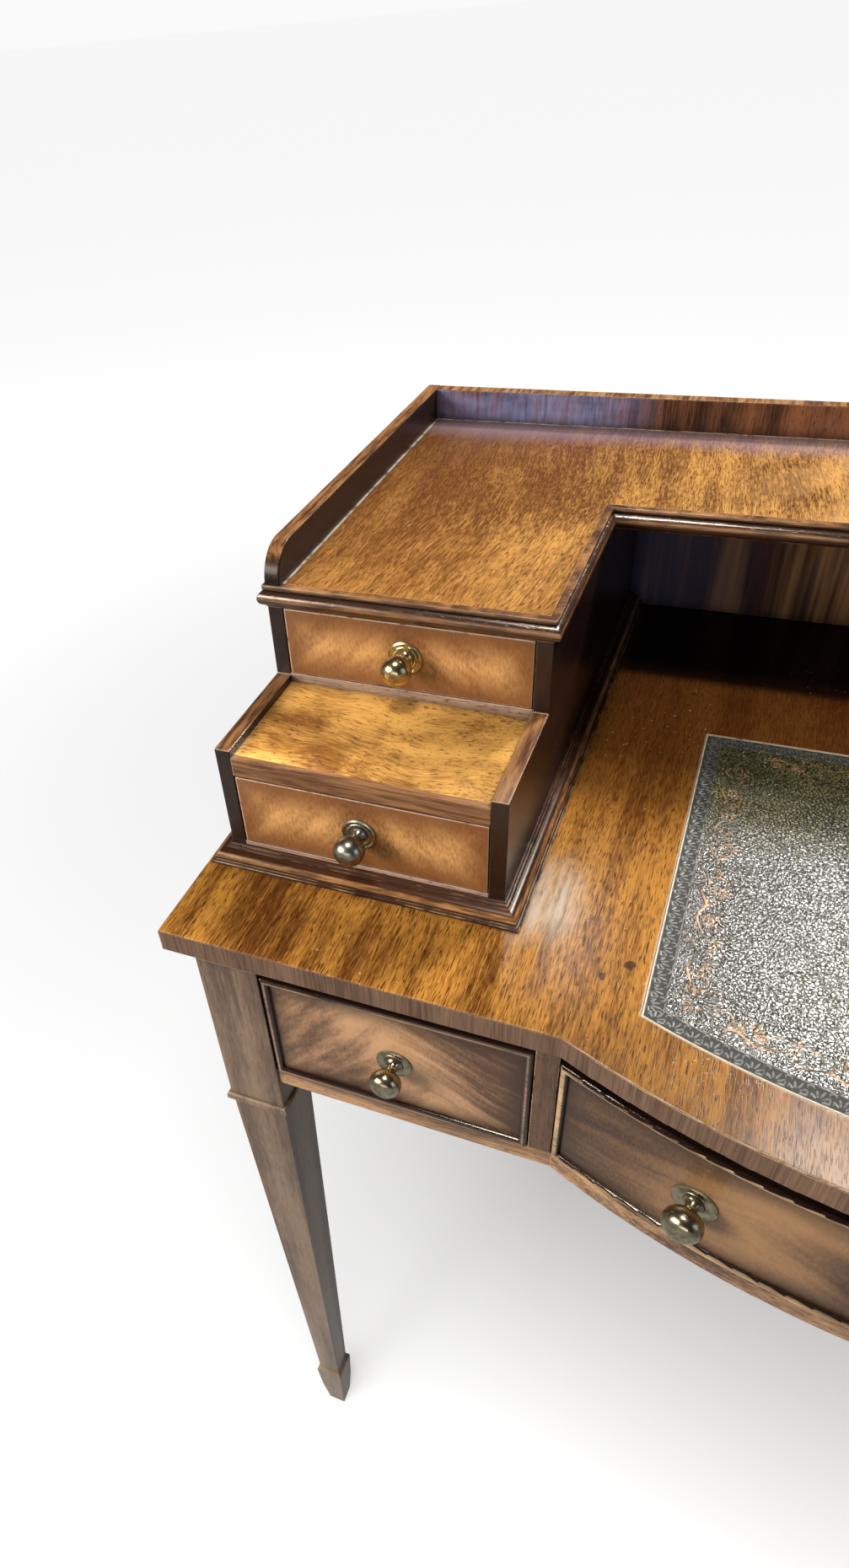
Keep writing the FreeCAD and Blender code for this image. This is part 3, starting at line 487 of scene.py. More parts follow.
def trayLipping(start, where, colour):
    # the narrow lipping along the front is dark straight-grained wood
    x, y, _ = where.axes()
    wood = where.drawn((30, 500, 500)).smooth(0.3, 0.7).blend(lipping["dark"], lipping["pale"])
    more, inside = lipping["brighter"]
    colour = colour.scaled(x.absolute().smooth(*lipping["outside"]) * more + inside)
    return y.smooth(*lipping["joint"]).blend(wood, colour)


backLook = finish(
    grain="z", ribbonWidth=0.035, ribbonLength=0.4, ribbon=0.5, cloud=0.3, poreEdge=0.66, fibre=0.4,
    pale=(0.100, 0.044, 0.032), dark=(0.036, 0.020, 0.021))
backMarks = {
    "ribbons": (0.72, (0.62, 0.33, 0.14)),
    "paintedBlueSheenEnd": (-0.25, -0.15),         # painted bluish sheen at the left end
    "paintedBlueSheen": (0.7, (0.070, 0.088, 0.18)),
    "rear": ((0.10, 0.05, 0.03), (0.20, 0.11, 0.06)),
}


def backBoard(start, where, colour):
    # dark with a few soft golden ribbons and a painted bluish sheen at the left end; the rear face is plain stained
    # board
    ribbons = where.drawn((46, 46, 2.2)).smooth(0.47, 0.70)
    colour = tinted(colour, ribbons, *backMarks["ribbons"])
    colour = tinted(colour, 1 - where.axes()[0].smooth(*backMarks["paintedBlueSheenEnd"]), *backMarks["paintedBlueSheen"])
    return facing(start)[1].smooth(0.4, 0.8).blend(colour, where.drawn((12, 12, 300)).blend(*backMarks["rear"]))


sideLook = finish(
    ribbon=0.5, pale=(0.017, 0.007, 0.005), dark=(0.006, 0.003, 0.003), wear=0.9, worn=(0.50, 0.31, 0.17),
    patchFrom=0.3, dirt=0.6, arris=0.0012, rough=0.26)
riserLook = finish(grain="x", ribbon=0.4, streak=0.9, pale=(0.38, 0.255, 0.185), dark=(0.15, 0.088, 0.062), wear=0.6)
mouldingLook = finish(
    grain="x", ribbon=0.5, pale=(0.045, 0.016, 0.008), dark=(0.010, 0.005, 0.004), worn=(0.52, 0.33, 0.17),
    rubFrom=0.20, wear=1.0, arris=0.0014, patchFrom=0.42, patchScale=45, dirt=0.95, dirtReach=0.004,
    shine=0.8, rough=0.18)
galleryLook = dict(
    mouldingLook, arris=0.0012, dirtReach=0.010, shine=0.2, rough=0.24, rubFrom=0.05, pale=(0.14, 0.055, 0.026))
profileGold = ((0.060, 0.024, 0.010), (0.32, 0.155, 0.055))


def mouldedProfile(name, *bands):
    # golden in bands of the moulding's height, by share of it, and dark elsewhere
    low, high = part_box(name)

    def shade(start, where, colour):
        share = (where.axes()[2] - low[2]) / (high[2] - low[2])
        gold = where.drawn((45, 45, 700), 3, 0.65).smooth(0.32, 0.64).blend(*profileGold)
        kept = where.noise(26, 3, 0.6).smooth(0.34, 0.58) * 0.65 + 0.35
        for foot, head, strength in bands:
            middle, reach = (foot + head) / 2, (head - foot) / 2
            worn = 1 - (share - middle).absolute().smooth(reach * 0.6, reach)
            colour = tinted(colour, worn * strength, kept, gold)
        return colour

    return shade


# Legs, frame and beads

legLook = finish(
    grain="z", ribbonWidth=0.02, ribbon=0.5, pale=(0.205, 0.136, 0.088), dark=(0.068, 0.040, 0.027),
    poreEdge=0.62, poreShade=0.45, worn=(0.34, 0.24, 0.16), wear=0.8, patchFrom=0.3, rough=0.36, shine=0.4,
    shineTint=(1, 1, 1))
railLook = finish(
    grain="x", ribbon=0.5, pale=(0.42, 0.235, 0.110), dark=(0.060, 0.027, 0.014), worn=(0.74, 0.50, 0.26),
    streak=1.0, wear=1.0, patchFrom=0.32, arris=0.0014)
partitionLook = dict(railLook, grain="z", pale=(0.115, 0.058, 0.028), dark=(0.034, 0.015, 0.009))
apronLook = finish(pale=(0.20, 0.10, 0.055), dark=(0.085, 0.038, 0.022))
liningLook = finish(
    ribbon=0.3, ribbonWidth=0.03, pale=(0.52, 0.37, 0.21), dark=(0.33, 0.21, 0.11), pore=(0.22, 0.13, 0.07),
    shine=0.2, rough=0.6, wear=0.2, dirt=0.6, poreEdge=0.64, shineTint=(1, 1, 1))
frameLook = finish(
    ribbon=0.3, pale=(0.42, 0.28, 0.15), dark=(0.26, 0.15, 0.08), pore=(0.18, 0.10, 0.05), shine=0.2,
    rough=0.65, wear=0.1, poreEdge=0.66, shineTint=(1, 1, 1))
beadLook = finish(
    grain="x", ribbon=0.3, pale=(0.020, 0.009, 0.006), dark=(0.006, 0.003, 0.003), rubFrom=0.6, rough=0.14,
    dirtReach=0.005, shine=0.6, bump=0.1)
straightNoseWearAndHighlight = {"nose": (0.965, 0.999), "lines": 0.4, "gone": 0.5, "bare": (0.30, 0.17, 0.085)}
bowedNoseWearAndHighlight = {"nose": (0.75, 0.97), "lines": 0.5, "gone": 0.7, "bare": (0.42, 0.27, 0.14),
             "outside": 0.038}         # of the bead from the leather's front edge


def paintedFloorLightLeg(start, where, colour):
    # painted light: lighter and greyer towards the foot, for light thrown up from the floor
    low = 1 - where.axes()[2].smooth(0.02, 0.42)
    streak = where.drawn((60, 60, 5)).smooth(0.25, 0.75)
    return (low * streak * 0.60 + low * 0.08).blend(colour, (0.33, 0.27, 0.21))


def wornAndLitNose(start, where, colour):
    # the polish has gone along the nose of the bead, more in some places than others; the pale line is partly wear
    # and partly painted highlight
    return noseWearAndHighlight(where, colour, -1 * facing(start)[1], straightNoseWearAndHighlight)


def bowedNose(start, where, colour):
    # the same on the bowed drawer, where the nose turns with the bow; a wider, stronger band, partly wear and partly
    # painted highlight
    across, behind, _ = facing(start)
    lean = where.axes()[0] / (leather["arcRadius"] + bowedNoseWearAndHighlight["outside"])
    return noseWearAndHighlight(where, colour, across * lean - behind * (1 - lean * lean * 0.5), bowedNoseWearAndHighlight)


def noseWearAndHighlight(where, colour, nose, look):
    lines = where.drawn((26, 26, 500), 3, 0.65).smooth(0.36, 0.60)
    gone = where.noise(19, 3, 0.6).smooth(0.34, 0.60)
    return tinted(colour, nose.smooth(*look["nose"]), lines * look["lines"] + gone * look["gone"], look["bare"])


# Drawer fronts

apronFlame = finish(
    grain="z", slope=0.16, plumeAt=0.12, plumeLean=-0.35, plumeWidth=0.70, plume=0.48, wander=0.22, wanderScale=14,
    featherRise=0.9, feathers=4.4, feather=0.45, speckle=0.35, tone=0.26, shade=(0.068, 0.031, 0.017),
    glow=(0.46, 0.262, 0.134), rimFrom=0.001, rimTo=0.024, rim=0.80, rimColour=(0.022, 0.009, 0.005),
    poreEdge=0.68, wear=0.3, dirt=0.5, shine=0.4, rough=0.28)
bowFlame = dict(
    apronFlame, slope=0, plumeAt=-0.54, plumeLean=0.12, plumeWidth=0.34, plume=0.55, wander=0.4, wanderScale=7,
    feathers=3.0, feather=0.28, tone=0.20, shade=(0.028, 0.012, 0.007), glow=(0.27, 0.145, 0.062))
smallFlame = dict(
    apronFlame, slope=0, plumeAt=0.0, plumeLean=0.03, plumeWidth=0.34, plume=-0.34, wander=0.16, wanderScale=20,
    featherRise=0.30, feathers=4.0, feather=0.30, speckle=0.75, tone=0.59, shade=(0.12, 0.042, 0.012),
    glow=(0.62, 0.335, 0.125), rim=0.85, rimTo=0.028, rimColour=(0.120, 0.040, 0.013),
    worn=(0.66, 0.50, 0.40), wear=0.9, patchFrom=0.28, arris=0.0018,
    poreEdge=0.60, poreWidth=0.0011, poreLength=0.0032)


def flameFront(name, low, high, look):
    # crotch figure: a plume up the front, feathers off it, and darker towards the margins
    middleX, middleZ = (low[0] + high[0]) / 2, (low[2] + high[2]) / 2
    halfX, halfZ = (high[0] - low[0]) / 2, (high[2] - low[2]) / 2

    def figure(start, where, colour):
        x, _, z = where.axes()
        across = (x - middleX) / halfX
        up = (z - middleZ) / halfZ
        wander = (where.noise(look["wanderScale"], 3, 0.6) - 0.5) * look["wander"]
        side = across - look["plumeAt"] - up * look["plumeLean"] + wander
        spread = side.absolute()
        plume = 1 - (spread / look["plumeWidth"]).smooth(0, 1)
        rise = up * look["featherRise"] + spread + wander * 0.8
        flow = start.make("CombineXYZ", {}, {0: rise * look["feathers"], 1: side * 1.4, 2: up * 0.4})
        feather = flow.noise(1, 4, 0.62).smooth(0.3, 0.7)
        speckle = where.drawn((700, 700, 260), 2)
        tone = plume * look["plume"] - across * look["slope"] + (feather - 0.5) * look["feather"]
        tone = tone + (speckle - 0.5) * look["speckle"] + look["tone"]
        colour = tone.smooth(0, 1).blend(look["shade"], look["glow"])
        fromEnd = (1 - across.absolute()) * halfX
        fromEdge = (1 - up.absolute()) * halfZ
        margin = fromEnd.maths("MINIMUM", fromEnd, fromEdge) + wander * 0.004
        return tinted(colour, 1 - margin.smooth(look["rimFrom"], look["rimTo"]), look["rim"], look["rimColour"])

    return woodFinish(name, look, figure)


def dressWood():
    goldenTops = paintedLitTops((0.048, 0.019, 0.009), (0.200, 0.094, 0.036))
    galleryTops = paintedLitTops((0.070, 0.028, 0.012), (0.24, 0.125, 0.050), 0.7)
    baseProfile = mouldedProfile("pedestal_moulding_left", (0.30, 0.62, 0.9))
    shelfProfile = mouldedProfile("shelf_edge_moulding", (0.85, 1.2, 0.8), (0.35, 0.6, 0.5))
    boards = (
        ("desktopVeneer", desktopLook, desktopShade, ["desktop"]),
        ("shelfVeneer", shelfLook, shelfShade, ["shelf_top"]),
        ("trayVeneer", trayLook, trayLipping, called("step_tray_")),
        ("sideMahogany", sideLook, goldenTops, called("pedestal_", "side")),
        ("legMahogany", legLook, paintedFloorLightLeg, called("leg_")),
        ("railMahogany", railLook, None, called("drawer_rail_") + ["top_rails"]),
        ("partitionMahogany", partitionLook, None, called("drawer_partition_")),
        ("apronMahogany", apronLook, None, called("side_apron_")),
        ("backApronMahogany", dict(apronLook, grain="x", ribbon=0.4), None, ["back_apron"]),
        ("baseMouldingMahogany", dict(mouldingLook, shine=0.15, rough=0.22, bump=0.05), baseProfile,
         called("pedestal_moulding_")),
        ("shelfMouldingMahogany", mouldingLook, shelfProfile, ["shelf_edge_moulding"]),
        ("riserMahogany", riserLook, None, ["riser_boards", "pedestal_bases"]),
        ("galleryBackMahogany", dict(galleryLook, grain="z"), galleryTops, ["gallery_back"]),
        ("gallerySideMahogany", dict(galleryLook, grain="y", pale=(0.016, 0.007, 0.005), dark=(0.006, 0.003, 0.003)),
         goldenTops, called("gallery_side_")),
        ("beadMahogany", beadLook, wornAndLitNose, called("apron_drawer_cock_bead")),
        ("bowBeadMahogany", beadLook, bowedNose, ["bow_drawer_cock_bead"]),
        ("drawerLining", liningLook, None, called("_drawer_box")),
        ("hiddenFrame", frameLook, None, ["drawer_runners_and_guides", "drawer_kickers", "drawer_stops"]),
        ("backBoard", backLook, backBoard, ["back_panel"]),
    )
    for name, look, alter, pieces in boards:
        dress(woodFinish(name, look, alter), pieces)
    for name in called("_drawer_front"):
        look = apronFlame if "apron" in name else bowFlame if "bow" in name else smallFlame
        dress(flameFront(name + "Veneer", *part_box(name), look), [name])
    print("wood finishes done")


# Brass

brass = {
    "upper": {"bright": (0.58, 0.46, 0.23), "dull": (0.27, 0.21, 0.105), "rough": 0.20},
    "lower": {"bright": (0.34, 0.32, 0.26), "dull": (0.17, 0.155, 0.12), "rough": 0.26},
    "apron": {"bright": (0.40, 0.35, 0.23), "dull": (0.17, 0.145, 0.090), "rough": 0.20},
}


brassWear = {
    "stainScale": 160,
    "stainSpan": (0.35, 0.68),
    "speckScale": 1400,
    "samples": 8,
    "dirtReach": 0.003,
    "dirtSpan": (0.35, 0.9),
    "dirt": (0.85, (0.030, 0.022, 0.012)),
}


def brassFinish(name, look):
    material, start, where = begin(name)
    wear = brassWear
    stain = where.noise(wear["stainScale"], 4, 0.65).smooth(*wear["stainSpan"])
    speck = where.noise(wear["speckScale"], 2, 0.6)
    exposed = start.make("AmbientOcclusion", {"samples": wear["samples"]}, {"Distance": wear["dirtReach"]}, "AO")
    dirt = 1 - exposed.smooth(*wear["dirtSpan"])
    colour = tinted(stain.blend(look["bright"], look["dull"]), dirt, *wear["dirt"])
    rough = stain * 0.14 + speck * 0.10 + dirt * 0.3 + (look["rough"] - 0.08)
    bump = start.make("Bump", {}, {"Strength": 0.15, "Distance": 0.0001, "Height": speck})
    close(start, {"Base Color": colour, "Roughness": rough, "Metallic": 1 - dirt * 0.6, "Normal": bump})
    return material


def dressBrass():
    made = {kind: brassFinish(kind + "Brass", look) for kind, look in brass.items()}
    for name in called("_knob"):
        # the bowed drawer's knobs are like those of the other apron drawers
        kinds = [kind for kind in made if kind in name]
        dress(made[kinds[0] if kinds else "apron"], [name])
    print("brass done")


# Leather

leather = {
    "halfWidth": 0.1867,
    "back": 0.07585,
    "arcCentre": 0.269349,    # y of the bow's centre
    "arcRadius": 0.493199,    # of the leather's front edge
    "bottom": 0.7607,
    "top": 0.7618,
    "edgeRound": 0.0004,
    "loops": (0.0004, 0.0011, 0.0100, 0.0110, 0.024, 0.036, 0.06),
    "sideSteps": 40,
    "frontSteps": 72,
}


leatherLook = {
    "grain": 440,             # scale of its cells
    "creases": 0.22,
    "lit": ((0.018, 0.018, 0.008), (0.050, 0.047, 0.020)),
    "olivePaintedLighter": ((0.050, 0.050, 0.016), (0.15, 0.135, 0.045)),       # towards the back, painted lighter where the shelf's shade falls
    "olivePaintedLighterFrom": (-0.05, 0.02),
    "creaseColour": (0.008, 0.008, 0.005),
    "bandEnd": (0.0099, 0.0110),       # of the pressed band, inside the edge
    "band": (0.95, (0.006, 0.007, 0.006)),
    "cut": (0.0008, 0.0011),           # the pale cut edge
    "cutColour": (0.50, 0.44, 0.34),
}


def frontArc(inset):
    # radius, half angle and corner of the bowed front that far inside the edge
    radius = leather["arcRadius"] - inset
    swing = math.asin((leather["halfWidth"] - inset) / radius)
    return radius, swing, leather["arcCentre"] - radius * math.cos(swing)


def leatherLoop(inset):
    # the outline that far inside the edge, from the back left corner counter-clockwise seen from above
    half = leather["halfWidth"] - inset
    back = leather["back"] - inset
    radius, swing, front = frontArc(inset)
    count, arcCount = leather["sideSteps"], leather["frontSteps"]
    points = [(-half, back + (front - back) * step / count) for step in range(count)]
    turns = [swing * (2 * step / arcCount - 1) for step in range(arcCount)]
    points += [(radius * math.sin(turn), leather["arcCentre"] - radius * math.cos(turn)) for turn in turns]
    points += [(half, front + (back - front) * step / count) for step in range(count)]
    points += [(half - 2 * half * step / arcCount, back) for step in range(arcCount)]
    return points


def settle(name, mesh, material):
    if not mesh.materials:
        mesh.materials.append(material)
    piece = linked(name, mesh)
    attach(piece, "root")
    return piece


def makeLeather():
    mesh = bpy.data.meshes.new("leatherSkin")
    top = leather["top"]
    rings = [(0, leather["bottom"]), (0, top - leather["edgeRound"])] + [(inset, top) for inset in leather["loops"]]
    build = bmesh.new()
    inward = build.verts.layers.float.new("inward")
    loops = []
    for inset, z in rings:
        loop = [build.verts.new((x, y, z)) for x, y in leatherLoop(inset)]
        for vertex in loop:
            vertex[inward] = inset
        loops.append(loop)
    for outer, inner in zip(loops, loops[1:]):
        for number, (a, b) in enumerate(zip(outer, outer[1:] + outer[:1])):
            following = (number + 1) % len(inner)
            build.faces.new((a, b, inner[following], inner[number]))
    build.faces.new(loops[-1])
    build.faces.new(loops[0][::-1])
    build.normal_update()
    build.to_mesh(mesh)
    build.free()
    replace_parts(settle("leather_skin", mesh, leatherFinish()), "leather_inset")
    print("leather skin made")


def leatherFinish():
    look = leatherLook
    material, start, where = begin("writingLeather")
    inward = start.make("Attribute", {"attribute_name": "inward"}, {}, "Fac")
    bent = where.vector("ADD", where.noise(330, 2, 0.5, 1).vector("MULTIPLY", (0.0024,) * 3))
    cells = start.make("TexVoronoi", {"feature": "DISTANCE_TO_EDGE"}, {"Vector": bent, "Scale": look["grain"]})
    grains = cells.smooth(0, look["creases"])
    cloud = where.noise(14, 3, 0.6)
    tone = cloud.smooth(0.3, 0.7)
    band = 1 - inward.smooth(*look["bandEnd"])
    # painted light: darker where the glare lamp lights the leather, lighter olive towards the back in the shelf's
    # shade
    colour = where.axes()[1].smooth(*look["olivePaintedLighterFrom"]).blend(tone.blend(*look["lit"]), tone.blend(*look["olivePaintedLighter"]))
    colour = (1 - grains).blend(colour, look["creaseColour"])
    colour = tinted(colour, band, *look["band"])
    colour = (1 - inward.smooth(*look["cut"])).blend(colour, look["cutColour"])
    crumple = where.noise(look["grain"], 3, 0.65)
    height = (grains * 0.7 + crumple * 1.3) * (1 - band * 0.5) + where.noise(45, 2, 0.5) * 0.9
    bump = start.make("Bump", {}, {"Strength": 1.0, "Distance": 0.00038, "Height": height})
    rough = cloud * 0.06 + 0.15 + band * 0.76
    close(start, {"Base Color": colour, "Roughness": rough, "Normal": bump, "Specular IOR Level": 1.0})
    return material


# Tooled border: strokes pressed round the leather, repeated by a node tree

tooling = {
    "sink": 0.00005,          # of the strokes' foot into the leather
    "gold": {"inset": 0.0245, "pitch": 0.045, "clearance": 0.030},
    "blind": {"inset": 0.0056, "pitch": 0.0104, "clearance": 0.004},
    "arcResolution": 96,
}
# width and height of the strokes
strokes = {
    "vine": (0.0013, 0.00022), "goldFan": (0.0009, 0.00018), "scroll": (0.0008, 0.00016),
    "rosette": (0.0006, 0.00015), "spray": (0.0008, 0.00015),
    "leaf": (0.0015, 0.00026), "bar": (0.0014, 0.00026), "curl": (0.0013, 0.00026), "line": (0.0008, 0.00016),
    "largeFan": (0.0010, 0.00020), "smallFan": (0.0009, 0.00018),
}
rosette = {"petals": 5, "out": 0.0026, "level": 0.0005, "radius": 0.0015}


def stroke(build, points, kind):
    # a low ridge of triangular section that narrows to a point at both ends
    width, height = strokes[kind]
    count = len(points) - 1
    rows = []
    for number, point in enumerate(points):
        before = Vector(points[max(number - 1, 0)])
        after = Vector(points[min(number + 1, count)])
        along = (after - before).normalized()
        side = Vector((-along.y, along.x)) * width / 2
        here = Vector(point)
        if number in (0, count):
            rows.append([build.verts.new((here.x, here.y, 0))] * 3)
            continue
        swell = min(1, 1.6 * math.sin(math.pi * number / count))
        left, right = here + side * swell, here - side * swell
        rows.append([build.verts.new((left.x, left.y, 0)), build.verts.new((here.x, here.y, height)),
                     build.verts.new((right.x, right.y, 0))])
    for row, following in zip(rows, rows[1:]):
        for number in range(3):
            other = (number + 1) % 3
            corners = [row[number], row[other], following[other], following[number]]
            face = list(dict.fromkeys(corners))
            if len(face) > 2:
                build.faces.new(face)


def arcPoints(centre, radius, fromAngle, toAngle, steps):
    turns = [math.radians(fromAngle + (toAngle - fromAngle) * step / steps) for step in range(steps + 1)]
    return [(centre[0] + radius * math.cos(turn), centre[1] + radius * math.sin(turn)) for turn in turns]


def fan(build, root, length, opening, petals, kind, facing=90):
    # petals fanned about the direction they face, bent outwards and shorter at the sides
    for number in range(petals):
        angle = math.radians(facing + opening * (number / (petals - 1) - 0.5))
        bend = math.radians(facing + opening * 1.25 * (number / (petals - 1) - 0.5))
        reach = length * (1 - 0.25 * abs(2 * number / (petals - 1) - 1))
        points = []
        for step in range(5):
            share = 0.25 + 0.75 * step / 4
            now = angle + (bend - angle) * share
            points.append((root[0] + reach * share * math.cos(now), root[1] + reach * share * math.sin(now)))
        stroke(build, points, kind)


def goldUnit(build):
    # one fan, one rosette and the vine that joins them, along +X with the field towards +Y
    pitch = tooling["gold"]["pitch"]
    vine = [(pitch * (step / 16 - 0.5), -0.0055 - 0.0017 * math.sin(4 * math.pi * step / 16)) for step in range(17)]
    stroke(build, vine, "vine")
    fan(build, (0, -0.0035), 0.0125, 150, 11, "goldFan")
    for side in (-1, 1):
        hook = arcPoints((side * 0.0075, -0.0015), 0.0030, 90 + side * 150, 90 - side * 150, 9)
        stroke(build, hook, "scroll")
        if side > 0:
            middle = pitch / 2
            for turn in range(rosette["petals"]):
                angle = math.radians(90 + 360 / rosette["petals"] * turn)
                centre = (middle + rosette["out"] * math.cos(angle),
                          rosette["level"] + rosette["out"] * math.sin(angle))
                stroke(build, arcPoints(centre, rosette["radius"], 0, 330, 7), "rosette")
            fan(build, (middle, 0.003), 0.0070, 110, 5, "spray")
        tendril = arcPoints((side * 0.0135, 0.0015), 0.0036, 90 - side * 60, 90 + side * 130, 8)
        stroke(build, tendril, "scroll")


def blindUnit(build):
    # a curled leaf and a pair of bars between two lines, pressed without gold
    fan(build, (-0.0020, -0.0042), 0.0082, 100, 5, "leaf", 75)
    for number in range(2):
        x = 0.0028 + 0.0017 * number
        stroke(build, [(x, -0.0036), (x + 0.0003, -0.0015), (x, 0.0008)], "bar")
    stroke(build, arcPoints((0.0036, 0.0025), 0.0016, -30, 250, 7), "curl")
    for y in (-0.0046, 0.0047):
        stroke(build, [(x, y) for x in (-0.0054, -0.002, 0.002, 0.0054)], "line")


def borderTree():
    tree = bpy.data.node_groups.new("tooledBorder", "GeometryNodeTree")
    tree.interface.new_socket(name="Geometry", in_out="OUTPUT", socket_type="NodeSocketGeometry")
    tree.interface.new_socket(name="Motif", in_out="INPUT", socket_type="NodeSocketGeometry")
    lengths = ("Half width", "Back", "Front corner", "Arc centre", "Arc radius", "Swing", "Level", "Clearance")
    kinds = {"Float": lengths, "Int": ("Side count", "Front count", "Back count"), "Material": ("Material",)}
    keys = {name: tree.interface.new_socket(name=name, in_out="INPUT", socket_type="NodeSocket" + kind).identifier
            for kind, names in kinds.items() for name in names}
    start = Wire(tree)
    entry = tree.nodes.new("NodeGroupInput")
    take = {socket.name: Wire(tree, socket) for socket in entry.outputs if socket.name}
    half, level, gap = take["Half width"], take["Level"], take["Clearance"]

    def spot(x, y):
        return start.make("CombineXYZ", {}, {0: x, 1: y, 2: level})

    def line(fromSpot, toSpot):
        return start.make("GeometryNodeCurvePrimitiveLine", {"mode": "POINTS"}, {0: fromSpot, 1: toSpot})

    high, low = take["Back"] - gap, take["Front corner"] + gap
    left = line(spot(half * -1, high), spot(half * -1, low))
    right = line(spot(half, low), spot(half, high))
    back = line(spot(half - gap, take["Back"]), spot((half - gap) * -1, take["Back"]))
    cut = gap / take["Arc radius"]
    arc = start.make("GeometryNodeCurveArc", {"mode": "RADIUS"}, {
        "Resolution": tooling["arcResolution"], "Radius": take["Arc radius"],
        "Start Angle": -math.pi / 2 - take["Swing"] + cut, "Sweep Angle": (take["Swing"] - cut) * 2})
    front = start.make("GeometryNodeTransform", {}, {
        "Geometry": arc, "Translation": start.make("CombineXYZ", {}, {1: take["Arc centre"], 2: level})})
    placed = []
    for path, count in ((left, "Side count"), (right, "Side count"), (front, "Front count"), (back, "Back count")):
        points = start.make("GeometryNodeCurveToPoints", {"mode": "COUNT"}, {"Curve": path, "Count": take[count]})
        tangent = Wire(tree, points.socket.node.outputs["Tangent"])
        turn = start.make("FunctionNodeAlignRotationToVector", {"axis": "X", "pivot_axis": "Z"}, {"Vector": tangent})
        placed.append(start.make("GeometryNodeInstanceOnPoints", {}, {
            "Points": points, "Instance": take["Motif"], "Rotation": turn}))
    joined = start.make("GeometryNodeJoinGeometry", {}, {0: placed})
    real = start.make("GeometryNodeRealizeInstances", {}, {0: joined})
    finished = start.make("GeometryNodeSetMaterial", {}, {"Geometry": real, "Material": take["Material"]})
    start.make("NodeGroupOutput", {}, {0: finished}, None)
    return tree, keys


def motifMesh(build, name):
    bmesh.ops.recalc_face_normals(build, faces=build.faces)
    mesh = bpy.data.meshes.new(name)
    build.to_mesh(mesh)
    build.free()
    return mesh


def makeBorder(name, unit, look, material, tree, keys):
    build = bmesh.new()
    unit(build)
    motif = linked(name + "_motif", motifMesh(build, name + "Motif"))
    inset, pitch, clearance = look["inset"], look["pitch"], look["clearance"]
    half, back = leather["halfWidth"] - inset, leather["back"] - inset
    radius, swing, corner = frontArc(inset)
    sizes = {
        "Half width": half, "Back": back, "Front corner": corner, "Arc centre": leather["arcCentre"],
        "Arc radius": radius, "Swing": swing, "Level": leather["top"] - tooling["sink"],
        "Clearance": clearance, "Material": material,
        "Side count": round((back - corner - 2 * clearance) / pitch) + 1,
        "Front count": round((2 * radius * swing - 2 * clearance) / pitch) + 1,
        "Back count": round((2 * half - 2 * clearance) / pitch) + 1,
    }
    modifier = motif.modifiers.new("border", "NODES")
    modifier.node_group = tree
    for key, value in sizes.items():
        modifier[keys[key]] = value
    evaluated = motif.evaluated_get(bpy.context.evaluated_depsgraph_get())
    mesh = bpy.data.meshes.new_from_object(evaluated)
    bpy.data.objects.remove(motif)
    settle(name, mesh, material)
    print(name, "made:", len(mesh.polygons), "faces")


def goldFinish():
    # gold leaf is left in patches, and dull leather shows between
    material, start, where = begin("wornGold")
    fine = where.noise(900, 2, 0.6).smooth(0.28, 0.5)
    gold = where.noise(70, 3, 0.65).smooth(0.40, 0.60) * fine
    colour = gold.blend((0.030, 0.028, 0.018), (0.56, 0.29, 0.14))
    bump = start.make("Bump", {}, {"Strength": 0.4, "Distance": 0.0001, "Height": fine})
    close(start, {"Base Color": colour, "Roughness": gold * 0.1 + 0.28, "Metallic": gold * 0.5, "Normal": bump})
    return material


def blindFinish():
    material, start, where = begin("pressedLeather")
    fine = where.noise(700, 2, 0.6)
    colour = fine.smooth(0.3, 0.6).blend((0.021, 0.021, 0.019), (0.105, 0.103, 0.090))
    bump = start.make("Bump", {}, {"Strength": 0.4, "Distance": 0.0001, "Height": fine})
    close(start, {"Base Color": colour, "Roughness": fine * 0.2 + 0.32, "Normal": bump, "Specular IOR Level": 1.0})
    return material


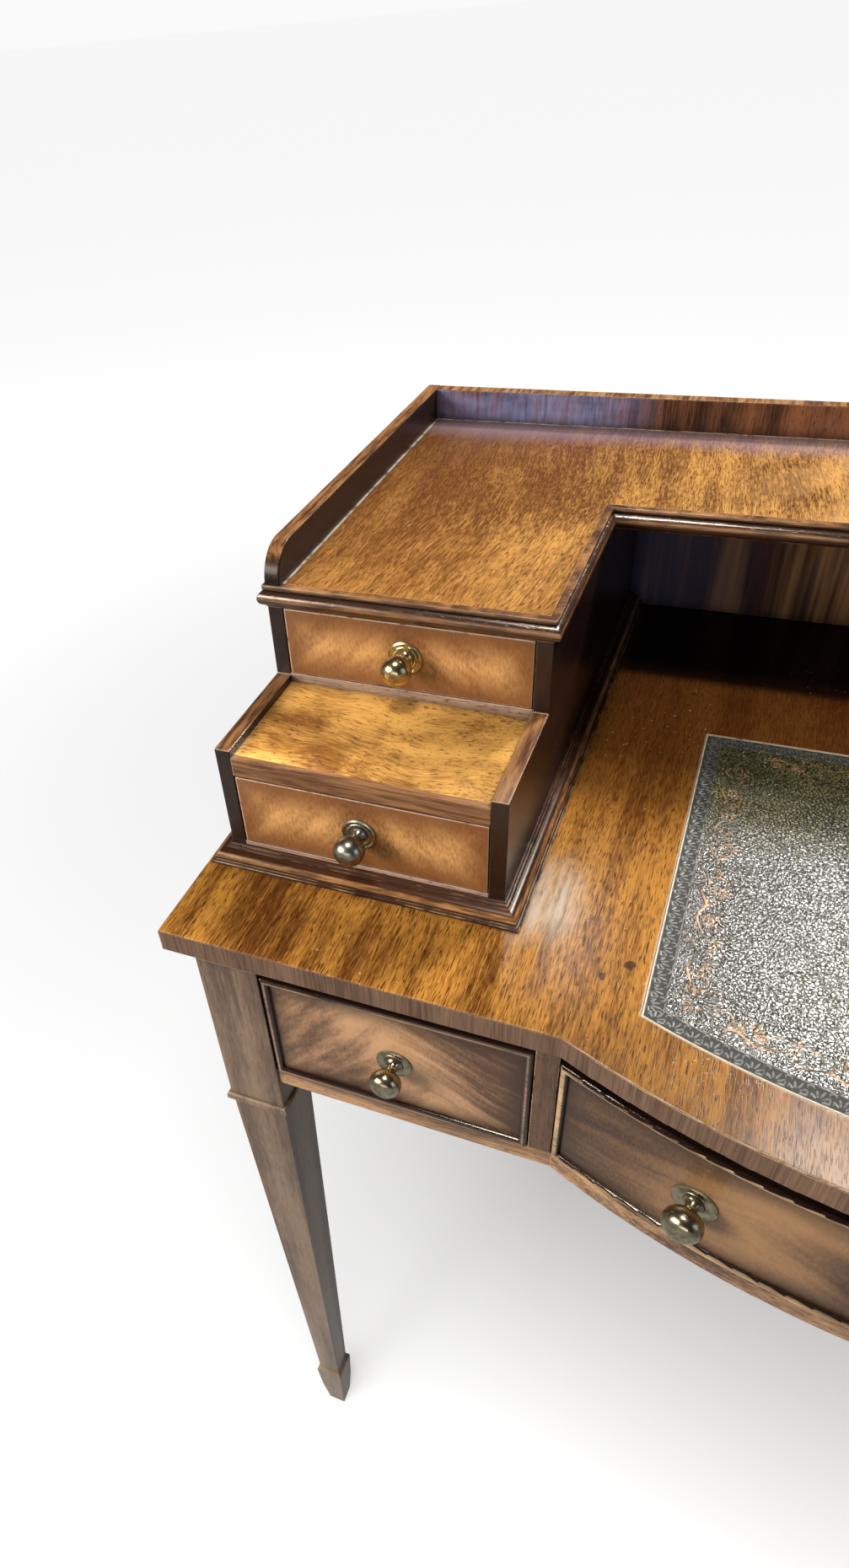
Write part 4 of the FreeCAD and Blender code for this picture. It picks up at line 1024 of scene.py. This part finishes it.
def cornerFans(material):
    # a larger fan in each corner of the gold line, and a small one behind it
    inset = tooling["gold"]["inset"]
    half, back = leather["halfWidth"] - inset, leather["back"] - inset
    corner = frontArc(inset)[2]
    build = bmesh.new()
    for x, y, facing in ((-half, back, -45), (half, back, -135), (-half, corner, 50), (half, corner, 130)):
        before = len(build.verts)
        fan(build, (0, 0), 0.017, 190, 15, "largeFan", facing)
        fan(build, (0, 0), 0.008, 150, 7, "smallFan", facing + 180)
        build.verts.ensure_lookup_table()
        for vertex in build.verts[before:]:
            vertex.co += Vector((x, y, leather["top"] - tooling["sink"]))
    settle("gold_corner_fans", motifMesh(build, "cornerFans"), material)


def makeTooling():
    tree, keys = borderTree()
    gold = goldFinish()
    makeBorder("gold_border", goldUnit, tooling["gold"], gold, tree, keys)
    makeBorder("blind_border", blindUnit, tooling["blind"], blindFinish(), tree, keys)
    cornerFans(gold)
    print("tooled borders made")


# Floor

def makeFloor():
    half = studio["floorHalf"]
    mesh = bpy.data.meshes.new("floor")
    mesh.from_pydata([(-half, -half, 0), (half, -half, 0), (half, half, 0), (-half, half, 0)], [], [(0, 1, 2, 3)])
    floor = linked("floor", mesh)
    material, start, where = begin("paleFloor")
    reach = where.vector("LENGTH", (0, 0, 0), 1).smooth(*studio["glowReach"])
    glow = reach.blend((studio["floorNear"],) * 3, (studio["floorFar"],) * 3)
    matt = {"Roughness": studio["floorRough"], "Specular IOR Level": 0}
    seen = start.make("BsdfPrincipled", {}, {
        **matt, "Base Color": (studio["floorColour"],) * 3 + (1,), "Emission Color": glow, "Emission Strength": 1})
    around = start.make("BsdfPrincipled", {}, {
        **matt, "Base Color": (studio["bounceColour"],) * 3 + (1,), "Emission Color": (1, 1, 1, 1),
        "Emission Strength": studio["bounce"]})
    # the studio floor is white to the eye, and a darker room floor to the polish above it
    camera = start.make("LightPath", {}, {}, "Is Camera Ray")
    shader = start.make("MixShader", {}, {0: camera, 1: around, 2: seen})
    start.make("OutputMaterial", {}, {"Surface": shader}, None)
    mesh.materials.append(material)
    return floor


setCamera()
setLights(makeFloor())
dressWood()
dressBrass()
makeLeather()
makeTooling()
